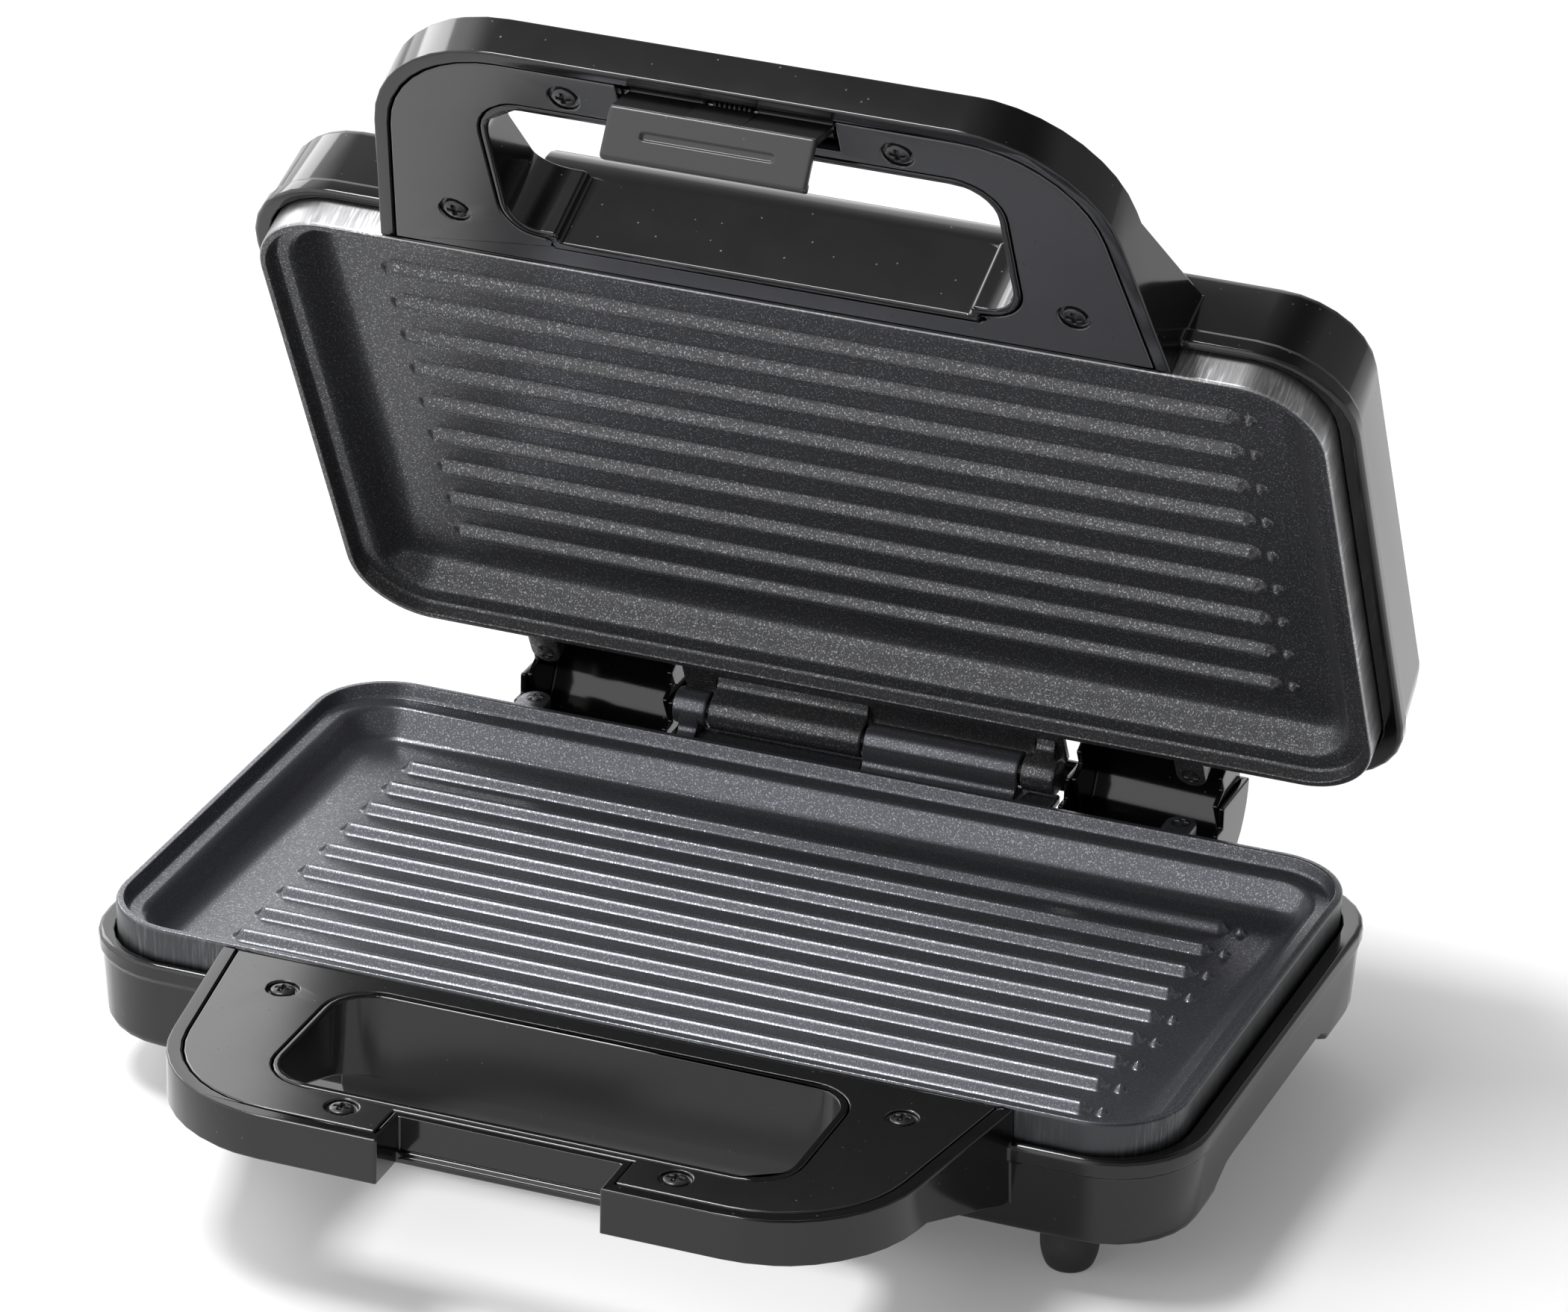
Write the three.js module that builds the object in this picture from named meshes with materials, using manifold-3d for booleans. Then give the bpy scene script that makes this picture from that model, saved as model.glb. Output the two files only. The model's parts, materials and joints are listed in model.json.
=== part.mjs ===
// Two-plate contact grill with a clamshell hinge, a pair of loop handles and a front snap latch.
// Millimetres, +Z up, +Y to the rear. The origin is on the table, midway between the front of the handle
// and the back of the hinge covers.
//
// Both halves are the same shape turned over, so each is described in one "half frame": z = 0 is the
// parting plane where the two plate rims meet, the body lies below it, and y = 0 is mid-plate.

import * as THREE from "three";
import Module from "manifold-3d";
import { mergeVertices } from "three/addons/utils/BufferGeometryUtils.js";

const wasm = await Module();
wasm.setup();

// ---------------------------------------------------------------- driving dimensions

const CLEARANCE = 0.35; // between pieces that are screwed or seated together
const RUNNING_GAP = 0.9; // between pieces that turn past each other
const CORNER_STEPS = 7; // facets in a quarter turn

// cooking plate
const PLATE_WIDTH = 282;
const PLATE_DEPTH = 156;
const PLATE_CORNER = 21;
const PLATE_RIM_RELIEF = 0.3; // rim below the parting plane
const PLATE_TRAY_DEPTH = 13; // parting plane to tray floor
const PLATE_FLOOR = 4;
const UNDERSIDE_INSET = 9; // the casting narrows below the flange
const RIM_WIDTH = 2;
const RIM_WALL_DEPTH = 4;
const LEDGE_WIDTH = 5.5;
const TRAY_SLOPE_SIDE = 5.6;
const TRAY_SLOPE_END = 3.6;
const RIDGE_PITCH = 13;
const RIDGE_END_MARGIN = 23; // plate edge to ridge end
const RIDGE_RADIUS = 2.5;
const RIDGE_SHIFT = 1.85; // ridge pattern sits this far towards the hinge

// outer shell
const FLANGE_SIDE = 5.3; // flange beyond the plate at each side
const FLANGE_FRONT = 2.5;
const FLANGE_REAR = 5.5;
const FLANGE_CORNER = 25;
const FLANGE_DROP = 9; // flange top below the parting plane
const FLANGE_HEIGHT = 5;
const FLANGE_STEP = 1;
const SHELL_HEIGHT = 34; // parting plane to the flat outer face
const SHELL_DRAFT = 1.2;
const SHELL_ROUND = 3;
const SHELL_WALL = 2;
const ARCH_LENGTH = 92;
const ARCH_RISE = 7;
const ARCH_REACH = 22; // how far the side arches cut in from the flange
const BEVEL_SLOPE = 1.43; // rise over run of the lid's rear face
const BEVEL_KNEE_INSET = 13; // from the flange, where the face turns towards it
const BEVEL_KNEE_BELOW_PLATE = 2;

// handles
const HANDLE_REACH = 76.5; // in front of the plate
const HANDLE_ROOT_HALF = 103.9;
const HANDLE_TAPER = 0.161; // inward lean of each side, per unit of reach
const HANDLE_CORNER = 38;
const HANDLE_TOP_DROP = 0.7; // handle face below the parting plane
const HANDLE_THICKNESS = 12;
const HANDLE_WALL = 2;
const HANDLE_LIP = 3.9; // shell edge seen round the cover panel
const ARM_DEPTH_AT_ROOT = 25.5; // below the parting plane
const ARM_SLOPE_LENGTH = 38;
const OPENING_WIDTH = 132;
const OPENING_DEPTH = 47.5;
const OPENING_CORNER = 10.4;
const OPENING_SETBACK = 9.2; // plate front to the opening
const OPENING_STEP_HALF = 54; // between the stepped rear corners of the lid's opening
const OPENING_STEP = 3.2;
const PANEL_THICKNESS = 2.4;
const PANEL_GAP = 0.4;

// latch and its seats
const SEAT_HALF_WIDTH = 28.6;
const SEAT_DEPTH = 13.3; // back from the handle's front face
const SEAT_LEDGE = 1.4;
const SEAT_LEDGE_HEIGHT = 3;
const POCKET_SHRINK = 0.4; // the latch's pocket is this much narrower a side than its seat
const LATCH_HALF_WIDTH = 26.3;
const LATCH_PIVOT_SETBACK = 10.75; // behind the handle's front face
const LATCH_PIVOT_DROP = 5.4; // below the parting plane
const LATCH_HUB_RADIUS = 3.1;
const LATCH_PIN_RADIUS = 1.2;
const LATCH_SHEET = 2;
const LATCH_NOSE_OUT = 8.45; // plate's top corner, out from the pivot
const LATCH_NOSE_ALONG = 11.9;
const LATCH_TIP_OUT = 1.85; // plate's hooked edge, out from the pivot
const LATCH_TIP_ALONG = 22.8;
const LATCH_HOOK = 3;
const GROOVE_WIDTH = 1.8;
const GROOVE_DEPTH = 0.5;
const GROOVE_HALF_LENGTH = 17;
const SPRING_HALF_LENGTH = 6;

// hinge
const HINGE_BEHIND_PLATE = 16;
const BARREL_RADIUS = 4.8;
const HINGE_PIN_RADIUS = 2;
const HINGE_HALF_WIDTH = 53;
const BARREL_END = 43; // far end of the long barrel
const BARREL_GAP = 0.8;
const WEB_TOP = 5.8; // below the parting plane
const WEB_THICKNESS = 2.8;
const WEB_OVERHANG = 2;
const KNUCKLE_NECK = 5.5;

// hinge covers: quarter-round boxes either side of the barrels, one inside the other
const COVER_OUTER_X = 98;
const COVER_INNER_X = 54.4;
const COVER_RADIUS = 20.5;
const COVER_WALL = 1.8;
const COVER_END_WALL = 1.5;
const RAIL_BEHIND_HINGE = 9.6; // rail between the lower covers, behind the barrels
const RAIL_HEIGHT = 9;

// fastenings and feet
const LUG_X = 89.6;
const LUG_BEHIND_PLATE = 6.4;
const LUG_RADIUS = 4.1;
const LUG_TOP_DROP = 1.3;
const LUG_HEIGHT = 6.7;
const SCREW_HEAD_RADIUS = 3;
const SCREW_HEAD_HEIGHT = 1.5;
const SCREW_SHANK_RADIUS = 1.3;
const SCREW_LENGTH = 8;
const SCREW_WELL_RADIUS = 4.1;
const SCREW_WELL_DEPTH = 1.2;
const BOSS_RADIUS = 4;
const REAR_SCREW = { x: 80.9, behindFront: 61.5 }; // handle screws, from the handle's front face
const FRONT_SCREW = { x: 42.9, behindFront: 12.1 };
const FOOT_RADIUS = 7.5;
const FOOT_HEIGHT = 14;
const FOOT_FLAT_RADIUS = 4.6;
const FOOT_SPIGOT_RADIUS = 4;
const FOOT_INSET_SIDE = 31.9; // from the flange
const FOOT_INSET_END = 17;

// heating and wiring
const HEATER_RADIUS = 3.2;
const HEATER_INSET_SIDE = 63; // from the plate's edge
const HEATER_INSET_END = 34;
const HEATER_BEND = 26;
const SHIELD_INSET_SIDE = 45; // from the plate's edge
const SHIELD_INSET_END = 28;
const SHIELD_SHEET = 0.8;
const SHIELD_LIP = 2.4;
const SUPPORT_INSET_SIDE = 29; // from the plate's edge
const SUPPORT_INSET_END = 38;
const THERMOSTAT = { radius: 8, height: 6, x: 22, y: 8 };
const FUSE = { radius: 2.2, length: 16, x: -24, y: 12 };
const TERMINALS = { width: 26, depth: 11, height: 7, insetEnd: 13 };
const GLAND_RADIUS = 6.5;
const GLAND_NECK_RADIUS = 4.6;
const GLAND_BORE_RADIUS = 3.1;
const GLAND_TAIL = 2.5; // inside the wall
const LAMP_RADIUS = 3;
const LAMP_SPACING = 20;
const LAMP_BEHIND_FRONT = 22; // from the plate's front edge
const LAMP_HOLDER = { width: 34, depth: 9, height: 5 };

const LID_ANGLE = 62.65; // how far the lid stands open

// ---------------------------------------------------------------- derived places

const PLATE_HALF_W = PLATE_WIDTH / 2;
const PLATE_HALF_D = PLATE_DEPTH / 2;
const TRAY_FLOOR_DEPTH = PLATE_DEPTH - 2 * (RIM_WIDTH + LEDGE_WIDTH + TRAY_SLOPE_END);
const RIDGE_COUNT = Math.floor(TRAY_FLOOR_DEPTH / RIDGE_PITCH) - 1;
const RIDGE_LENGTH = PLATE_WIDTH - 2 * RIDGE_END_MARGIN;
const TRAY_FLOOR_Z = -PLATE_TRAY_DEPTH;
const PLATE_UNDERSIDE_Z = TRAY_FLOOR_Z - PLATE_FLOOR;
const FLANGE_TOP_Z = -FLANGE_DROP;
const FLANGE_LOW_Z = FLANGE_TOP_Z - FLANGE_HEIGHT;
const SHELL_OUT_Z = -SHELL_HEIGHT;
const SHELL_INNER_Z = SHELL_OUT_Z + SHELL_WALL;
const PARTING_Z = SHELL_HEIGHT + FOOT_HEIGHT;
const HINGE_Y = PLATE_HALF_D + HINGE_BEHIND_PLATE;
const HANDLE_FRONT_Y = -PLATE_HALF_D - HANDLE_REACH;
const HANDLE_TOP_Z = -HANDLE_TOP_DROP;
const HANDLE_LOW_Z = HANDLE_TOP_Z - HANDLE_THICKNESS;
const OPENING_REAR_Y = -PLATE_HALF_D - OPENING_SETBACK;
const OPENING_FRONT_Y = OPENING_REAR_Y - OPENING_DEPTH;
const SEAT_BACK_Y = HANDLE_FRONT_Y + SEAT_DEPTH;
const PIVOT_Y = HANDLE_FRONT_Y + LATCH_PIVOT_SETBACK;
const PIVOT_Z = -LATCH_PIVOT_DROP;
const PANEL_SEAT_Z = HANDLE_TOP_Z - PANEL_THICKNESS - CLEARANCE;
const LUG_Y = PLATE_HALF_D + LUG_BEHIND_PLATE;
const LUG_LOW_Z = -LUG_TOP_DROP - LUG_HEIGHT;
const HEATER_Z = PLATE_UNDERSIDE_Z - CLEARANCE - HEATER_RADIUS;
const SHIELD_Z = (HEATER_Z - HEATER_RADIUS + SHELL_INNER_Z + SHIELD_SHEET) / 2; // sheet midway in the room
const GLAND_Z = (SHELL_OUT_Z + FLANGE_LOW_Z) / 2; // midway up the rear wall
const SIDES = [-1, 1];

// ---------------------------------------------------------------- geometry helpers

function solid(geometry) {
  const bare = geometry.clone();
  for (const name of Object.keys(bare.attributes)) {
    if (name !== "position") bare.deleteAttribute(name);
  }
  const merged = mergeVertices(bare, 1e-5);
  return new wasm.Manifold(new wasm.Mesh({
    numProp: 3,
    vertProperties: new Float32Array(merged.attributes.position.array),
    triVerts: new Uint32Array(merged.index.array),
  }));
}

function toGeometry(body) {
  const mesh = body.getMesh();
  const geometry = new THREE.BufferGeometry();
  geometry.setAttribute("position", new THREE.BufferAttribute(new Float32Array(mesh.vertProperties), 3));
  geometry.setIndex(new THREE.BufferAttribute(new Uint32Array(mesh.triVerts), 1));
  geometry.computeVertexNormals();
  return geometry;
}

function join(first, ...others) {
  return others.reduce((sum, next) => sum.add(next), first);
}

function cut(first, ...others) {
  return others.reduce((rest, next) => rest.subtract(next), first);
}

function box(x0, x1, y0, y1, z0, z1) {
  const geometry = new THREE.BoxGeometry(x1 - x0, y1 - y0, z1 - z0);
  geometry.translate((x0 + x1) / 2, (y0 + y1) / 2, (z0 + z1) / 2);
  return solid(geometry);
}

function rodZ(radius, x, y, z0, z1, steps = 16) {
  const geometry = new THREE.CylinderGeometry(radius, radius, z1 - z0, steps);
  geometry.rotateX(Math.PI / 2);
  geometry.translate(x, y, (z0 + z1) / 2);
  return solid(geometry);
}

function rodX(radius, x0, x1, y, z, steps = 16) {
  const geometry = new THREE.CylinderGeometry(radius, radius, x1 - x0, steps);
  geometry.rotateZ(Math.PI / 2);
  geometry.translate((x0 + x1) / 2, y, z);
  return solid(geometry);
}

function rodY(radius, x, y0, y1, z, steps = 16) {
  const geometry = new THREE.CylinderGeometry(radius, radius, y1 - y0, steps);
  geometry.translate(x, (y0 + y1) / 2, z);
  return solid(geometry);
}

// A flat outline in XY raised between two heights.
function prism(points, z0, z1) {
  const shape = new THREE.Shape(points);
  const geometry = new THREE.ExtrudeGeometry(shape, { depth: z1 - z0, bevelEnabled: false });
  geometry.translate(0, 0, z0);
  return solid(geometry);
}

// A side profile of [y, z] points carried across from x0 to x1.
function slab(profile, x0, x1) {
  const shape = new THREE.Shape(profile.map(([y, z]) => new THREE.Vector2(y, z)));
  const geometry = new THREE.ExtrudeGeometry(shape, { depth: x1 - x0, bevelEnabled: false });
  geometry.applyMatrix4(new THREE.Matrix4().set(0, 0, 1, x0, 1, 0, 0, 0, 0, 1, 0, 0, 0, 0, 0, 1));
  return solid(geometry);
}

// Corners given as [x, y, radius], each rounded by an arc that touches both of its sides.
function roundedOutline(corners, steps = CORNER_STEPS) {
  const points = [];
  corners.forEach(([x, y, radius], index) => {
    const here = new THREE.Vector2(x, y);
    const before = corners[(index + corners.length - 1) % corners.length];
    const after = corners[(index + 1) % corners.length];
    const back = new THREE.Vector2(before[0], before[1]).sub(here).normalize();
    const ahead = new THREE.Vector2(after[0], after[1]).sub(here).normalize();
    if (radius <= 0) {
      points.push(here);
      return;
    }
    const half = Math.acos(THREE.MathUtils.clamp(back.dot(ahead), -1, 1)) / 2;
    const bisector = back.clone().add(ahead).normalize();
    const centre = here.clone().addScaledVector(bisector, radius / Math.sin(half));
    const start = here.clone().addScaledVector(back, radius / Math.tan(half)).sub(centre);
    const end = here.clone().addScaledVector(ahead, radius / Math.tan(half)).sub(centre);
    const turn = Math.atan2(start.cross(end), start.dot(end));
    for (let step = 0; step <= steps; step += 1) {
      points.push(start.clone().rotateAround(new THREE.Vector2(), (turn * step) / steps).add(centre));
    }
  });
  return points;
}

function rectangle(halfW, front, rear, radius, steps = CORNER_STEPS) {
  const r = Math.max(0.4, Math.min(radius, halfW - 0.1, (rear - front) / 2 - 0.1));
  return roundedOutline([[-halfW, front, r], [halfW, front, r], [halfW, rear, r], [-halfW, rear, r]], steps);
}

// Rounded rectangles stacked from the lowest to the highest: [z, halfWidth, front, rear, radius].
function stack(levels) {
  const rings = levels.map(([z, halfW, front, rear, radius]) => (
    rectangle(halfW, front, rear, radius).map((point) => [point.x, point.y, z])
  ));
  const count = rings[0].length;
  const middle = (level) => [0, (level[2] + level[3]) / 2, level[0]];
  const positions = [...rings.flat(), middle(levels[0]), middle(levels[levels.length - 1])];
  const lowest = rings.length * count;
  const highest = lowest + 1;
  const index = [];
  for (let step = 0; step < count; step += 1) {
    const next = (step + 1) % count;
    for (let ring = 0; ring + 1 < rings.length; ring += 1) {
      const low = ring * count;
      const high = low + count;
      index.push(low + step, low + next, high + next, low + step, high + next, high + step);
    }
    const top = (rings.length - 1) * count;
    index.push(next, step, lowest, top + step, top + next, highest);
  }
  const geometry = new THREE.BufferGeometry();
  geometry.setAttribute("position", new THREE.Float32BufferAttribute(positions.flat(), 3));
  geometry.setIndex(index);
  return solid(geometry);
}

// Points on an arc in the side view, about [y, z], angles in degrees from the rear (+Y) upwards.
function arc(y, z, radius, from, to, steps = 8) {
  const points = [];
  for (let step = 0; step <= steps; step += 1) {
    const angle = THREE.MathUtils.degToRad(from + ((to - from) * step) / steps);
    points.push([y + radius * Math.cos(angle), z + radius * Math.sin(angle)]);
  }
  return points;
}

// ---------------------------------------------------------------- shell of one half

function flangeLevel(z, inset) {
  return [
    z,
    PLATE_HALF_W + FLANGE_SIDE - inset,
    -PLATE_HALF_D - FLANGE_FRONT + inset,
    PLATE_HALF_D + FLANGE_REAR - inset,
    FLANGE_CORNER - inset,
  ];
}

function shellOuter() {
  const wall = FLANGE_STEP + SHELL_DRAFT;
  return stack([
    flangeLevel(SHELL_OUT_Z, wall + SHELL_ROUND),
    flangeLevel(SHELL_OUT_Z + SHELL_ROUND * 0.3, wall + SHELL_ROUND * 0.3),
    flangeLevel(SHELL_OUT_Z + SHELL_ROUND, wall),
    flangeLevel(FLANGE_LOW_Z - 0.2, FLANGE_STEP),
    flangeLevel(FLANGE_LOW_Z + 0.4, 0.2),
    flangeLevel(FLANGE_TOP_Z - 0.9, 0),
    flangeLevel(FLANGE_TOP_Z, 0.9),
  ]);
}

function shellCavity() {
  const wall = FLANGE_STEP + SHELL_WALL;
  return stack([
    flangeLevel(SHELL_INNER_Z, wall + SHELL_DRAFT + SHELL_ROUND),
    flangeLevel(SHELL_INNER_Z + SHELL_ROUND, wall + SHELL_DRAFT),
    flangeLevel(FLANGE_LOW_Z, wall + 0.6),
    plateLevel(FLANGE_LOW_Z + 1.5, -CLEARANCE, -CLEARANCE),
    plateLevel(FLANGE_TOP_Z + 1, -CLEARANCE, -CLEARANCE),
  ]);
}

function plateLevel(z, insetSide, insetEnd) {
  return [
    z,
    PLATE_HALF_W - insetSide,
    -PLATE_HALF_D + insetEnd,
    PLATE_HALF_D - insetEnd,
    Math.max(PLATE_CORNER - insetSide, 4),
  ];
}

function handleOutline(inset, rearY) {
  const lean = inset * Math.hypot(1, HANDLE_TAPER);
  const frontY = HANDLE_FRONT_Y + inset;
  const sideAt = (y) => HANDLE_ROOT_HALF - lean + HANDLE_TAPER * (y + PLATE_HALF_D);
  const radius = HANDLE_CORNER - inset;
  return roundedOutline([
    [-sideAt(frontY), frontY, radius],
    [sideAt(frontY), frontY, radius],
    [sideAt(rearY), rearY, 0],
    [-sideAt(rearY), rearY, 0],
  ], CORNER_STEPS + 2);
}

// The finger opening, grown by a wall or a gap. The lid's has its rear corners stepped forward.
function openingPrism(grow, z0, z1, step) {
  const half = OPENING_WIDTH / 2 + grow;
  const front = OPENING_FRONT_Y - grow;
  const rear = OPENING_REAR_Y + grow;
  const radius = OPENING_CORNER + grow;
  if (step === 0) return prism(rectangle(half, front, rear, radius), z0, z1);
  const inner = OPENING_STEP_HALF + grow;
  const round = step * 0.4;
  return prism(roundedOutline([
    [-half, front, radius],
    [half, front, radius],
    [half, rear - step, radius * 0.8],
    [inner, rear - step, round],
    [inner, rear, round],
    [-inner, rear, round],
    [-inner, rear - step, round],
    [-half, rear - step, radius * 0.8],
  ]), z0, z1);
}

// The two arms deepen towards the shell, so the handle's underside is a ramp behind the grip.
function handleSolid() {
  const rearY = -PLATE_HALF_D + 6;
  const body = prism(handleOutline(0, rearY), SHELL_OUT_Z, HANDLE_TOP_Z);
  const rampFoot = -PLATE_HALF_D - FLANGE_FRONT - ARM_SLOPE_LENGTH;
  const below = slab([
    [HANDLE_FRONT_Y - 5, SHELL_OUT_Z - 5],
    [rearY + 5, SHELL_OUT_Z - 5],
    [rearY + 5, -ARM_DEPTH_AT_ROOT],
    [-PLATE_HALF_D - FLANGE_FRONT, -ARM_DEPTH_AT_ROOT],
    [rampFoot, HANDLE_LOW_Z],
    [HANDLE_FRONT_Y - 5, HANDLE_LOW_Z],
  ], -HANDLE_ROOT_HALF - 5, HANDLE_ROOT_HALF + 5);
  return body.subtract(below);
}

// Between the arms the shell's front wall stands forward as far as the opening.
function frontBulge() {
  const half = OPENING_WIDTH / 2 + HANDLE_WALL;
  return slab([
    [OPENING_REAR_Y, HANDLE_TOP_Z],
    [OPENING_REAR_Y, SHELL_OUT_Z + SHELL_ROUND + 4],
    [OPENING_REAR_Y + 1.2, SHELL_OUT_Z + SHELL_ROUND + 1],
    [OPENING_REAR_Y + 4, SHELL_OUT_Z + 1],
    [OPENING_REAR_Y + 8, SHELL_OUT_Z],
    [-PLATE_HALF_D + 6, SHELL_OUT_Z],
    [-PLATE_HALF_D + 6, HANDLE_TOP_Z],
  ], -half, half);
}

function handleCavity(step) {
  const rearY = -PLATE_HALF_D - FLANGE_FRONT - HANDLE_WALL;
  const hollow = prism(handleOutline(HANDLE_LIP, rearY), HANDLE_LOW_Z + HANDLE_WALL, HANDLE_TOP_Z + 5);
  const ring = openingPrism(HANDLE_WALL, SHELL_OUT_Z, HANDLE_TOP_Z + 10, step);
  const wallBehind = box(
    -OPENING_WIDTH / 2 - HANDLE_WALL, OPENING_WIDTH / 2 + HANDLE_WALL,
    OPENING_REAR_Y - HANDLE_WALL, rearY + 5, SHELL_OUT_Z, HANDLE_TOP_Z + 10,
  );
  return cut(hollow, ring, wallBehind);
}

// Where the cover panel drops in: it follows the cavity, and reaches back to the plate.
function panelSeat(gap, step) {
  const rearY = -PLATE_HALF_D - RUNNING_GAP + gap;
  const outline = handleOutline(HANDLE_LIP + PANEL_GAP - gap, rearY);
  const seat = prism(outline, PANEL_SEAT_Z + CLEARANCE - gap, HANDLE_TOP_Z + gap * 10);
  return seat.subtract(openingPrism(HANDLE_WALL + PANEL_GAP - gap, SHELL_OUT_Z, HANDLE_TOP_Z + 20, step));
}

function handleScrewPlaces() {
  return [REAR_SCREW, FRONT_SCREW].flatMap(({ x, behindFront }) => (
    SIDES.map((side) => [side * x, HANDLE_FRONT_Y + behindFront])
  ));
}

function handleBosses() {
  return handleScrewPlaces().map(([x, y]) => rodZ(BOSS_RADIUS, x, y, HANDLE_LOW_Z + 1, PANEL_SEAT_Z - 0.02));
}

function handleScrewHoles() {
  const deep = HANDLE_TOP_Z - SCREW_WELL_DEPTH - SCREW_LENGTH - CLEARANCE;
  return handleScrewPlaces().map(([x, y]) => (
    rodZ(SCREW_SHANK_RADIUS + CLEARANCE, x, y, deep, HANDLE_TOP_Z + 5, 12)
  ));
}

// Quarter-round box behind the shell, about the hinge axis, solid or hollowed by its wall.
function coverProfile(radius, frontY) {
  return [
    [frontY, FLANGE_TOP_Z],
    [frontY, -radius],
    ...arc(HINGE_Y, 0, radius, -90, 0, 9),
    [HINGE_Y, 0],
    [HINGE_Y, -WEB_TOP],
    [LUG_Y + LUG_RADIUS + 1, -WEB_TOP],
    [LUG_Y + LUG_RADIUS + 1, FLANGE_TOP_Z],
  ];
}

function coverBoxes(radius, outerX, innerX, frontY) {
  return SIDES.map((side) => {
    const ends = [side * innerX, side * outerX].sort((a, b) => a - b);
    const whole = slab(coverProfile(radius, frontY), ends[0], ends[1]);
    const inside = radius - COVER_WALL;
    const room = slab([
      [PLATE_HALF_D + FLANGE_REAR, FLANGE_LOW_Z - 0.2],
      [PLATE_HALF_D + FLANGE_REAR, -inside],
      ...arc(HINGE_Y, 0, inside, -90, 0, 9),
      [HINGE_Y + inside, 5],
      [PLATE_HALF_D + FLANGE_REAR, 5],
    ], ends[0] + COVER_END_WALL, ends[1] - COVER_END_WALL);
    return whole.subtract(room);
  });
}

// Rail that ties the two lower covers together and closes the view past the barrels' ends.
function coverRail() {
  const half = COVER_INNER_X + COVER_END_WALL / 2;
  const near = HINGE_Y + RAIL_BEHIND_HINGE;
  return box(-half, half, near, near + COVER_WALL, -RAIL_HEIGHT, 0);
}

function lugBosses(coverRadius) {
  const low = -coverRadius + COVER_WALL / 2;
  return SIDES.map((side) => rodZ(LUG_RADIUS, side * LUG_X, LUG_Y, low, LUG_LOW_Z - CLEARANCE));
}

function lugScrewHoles() {
  const deep = -LUG_TOP_DROP - SCREW_WELL_DEPTH - SCREW_LENGTH - CLEARANCE;
  return SIDES.map((side) => rodZ(SCREW_SHANK_RADIUS + CLEARANCE, side * LUG_X, LUG_Y, deep, 5, 12));
}

function plateSupports() {
  const x = PLATE_HALF_W - SUPPORT_INSET_SIDE;
  const y = PLATE_HALF_D - SUPPORT_INSET_END;
  return SIDES.flatMap((side) => SIDES.map((end) => (
    rodZ(BOSS_RADIUS, side * x, end * y, SHELL_INNER_Z - 1, PLATE_UNDERSIDE_Z - CLEARANCE, 12)
  )));
}

function shellHalf({ cavity, coverRadius, coverOuterX, coverInnerX, coverFrontY, outerCut, step }) {
  const trimmed = outerCut ? shellOuter().subtract(outerCut) : shellOuter();
  const outside = join(trimmed, handleSolid(), frontBulge());
  const throughPlate = stack([
    plateLevel(FLANGE_LOW_Z - 1, -CLEARANCE, -CLEARANCE),
    plateLevel(HANDLE_TOP_Z + 5, -CLEARANCE, -CLEARANCE),
  ]);
  const opened = cut(
    outside,
    cavity,
    throughPlate,
    handleCavity(step),
    panelSeat(PANEL_GAP, step),
    openingPrism(0, SHELL_OUT_Z - 5, HANDLE_TOP_Z + 5, step),
  );
  const boxes = coverBoxes(coverRadius, coverOuterX, coverInnerX, coverFrontY)
    .map((cover) => cut(cover, cavity, throughPlate));
  return join(opened, ...handleBosses(), ...boxes, ...lugBosses(coverRadius), ...plateSupports());
}

// ---------------------------------------------------------------- lower shell

function archProfile(grow) {
  const half = ARCH_LENGTH / 2 + grow;
  const top = SHELL_OUT_Z + ARCH_RISE + grow;
  const low = SHELL_OUT_Z - 2;
  return [
    [-half - 1, low],
    [half + 1, low],
    [half - 1, SHELL_OUT_Z + 1],
    [half - 4, SHELL_OUT_Z + ARCH_RISE * 0.6 + grow],
    [half - 9, top - 0.6],
    [half - 14, top],
    [-half + 14, top],
    [-half + 9, top - 0.6],
    [-half + 4, SHELL_OUT_Z + ARCH_RISE * 0.6 + grow],
    [-half + 1, SHELL_OUT_Z + 1],
  ];
}

function archSlabs(grow) {
  const inner = PLATE_HALF_W + FLANGE_SIDE - ARCH_REACH - grow;
  const outer = PLATE_HALF_W + FLANGE_SIDE + 5;
  return SIDES.map((side) => {
    const ends = [side * inner, side * outer].sort((a, b) => a - b);
    return slab(archProfile(grow), ends[0], ends[1]);
  });
}

function footPlaces() {
  const x = PLATE_HALF_W + FLANGE_SIDE - FOOT_INSET_SIDE;
  const front = -PLATE_HALF_D - FLANGE_FRONT + FOOT_INSET_END;
  const rear = PLATE_HALF_D + FLANGE_REAR - FOOT_INSET_END;
  return { front_left: [-x, front], front_right: [x, front], rear_left: [-x, rear], rear_right: [x, rear] };
}

function latchSeatCut() {
  const through = box(
    -SEAT_HALF_WIDTH, SEAT_HALF_WIDTH, HANDLE_FRONT_Y - 5, SEAT_BACK_Y, HANDLE_LOW_Z - 5, HANDLE_TOP_Z + 5,
  );
  const ledge = box(
    -SEAT_HALF_WIDTH - 1, SEAT_HALF_WIDTH + 1, SEAT_BACK_Y - SEAT_LEDGE, SEAT_BACK_Y + 1,
    HANDLE_LOW_Z, HANDLE_LOW_Z + SEAT_LEDGE_HEIGHT,
  );
  return through.subtract(ledge);
}

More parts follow.
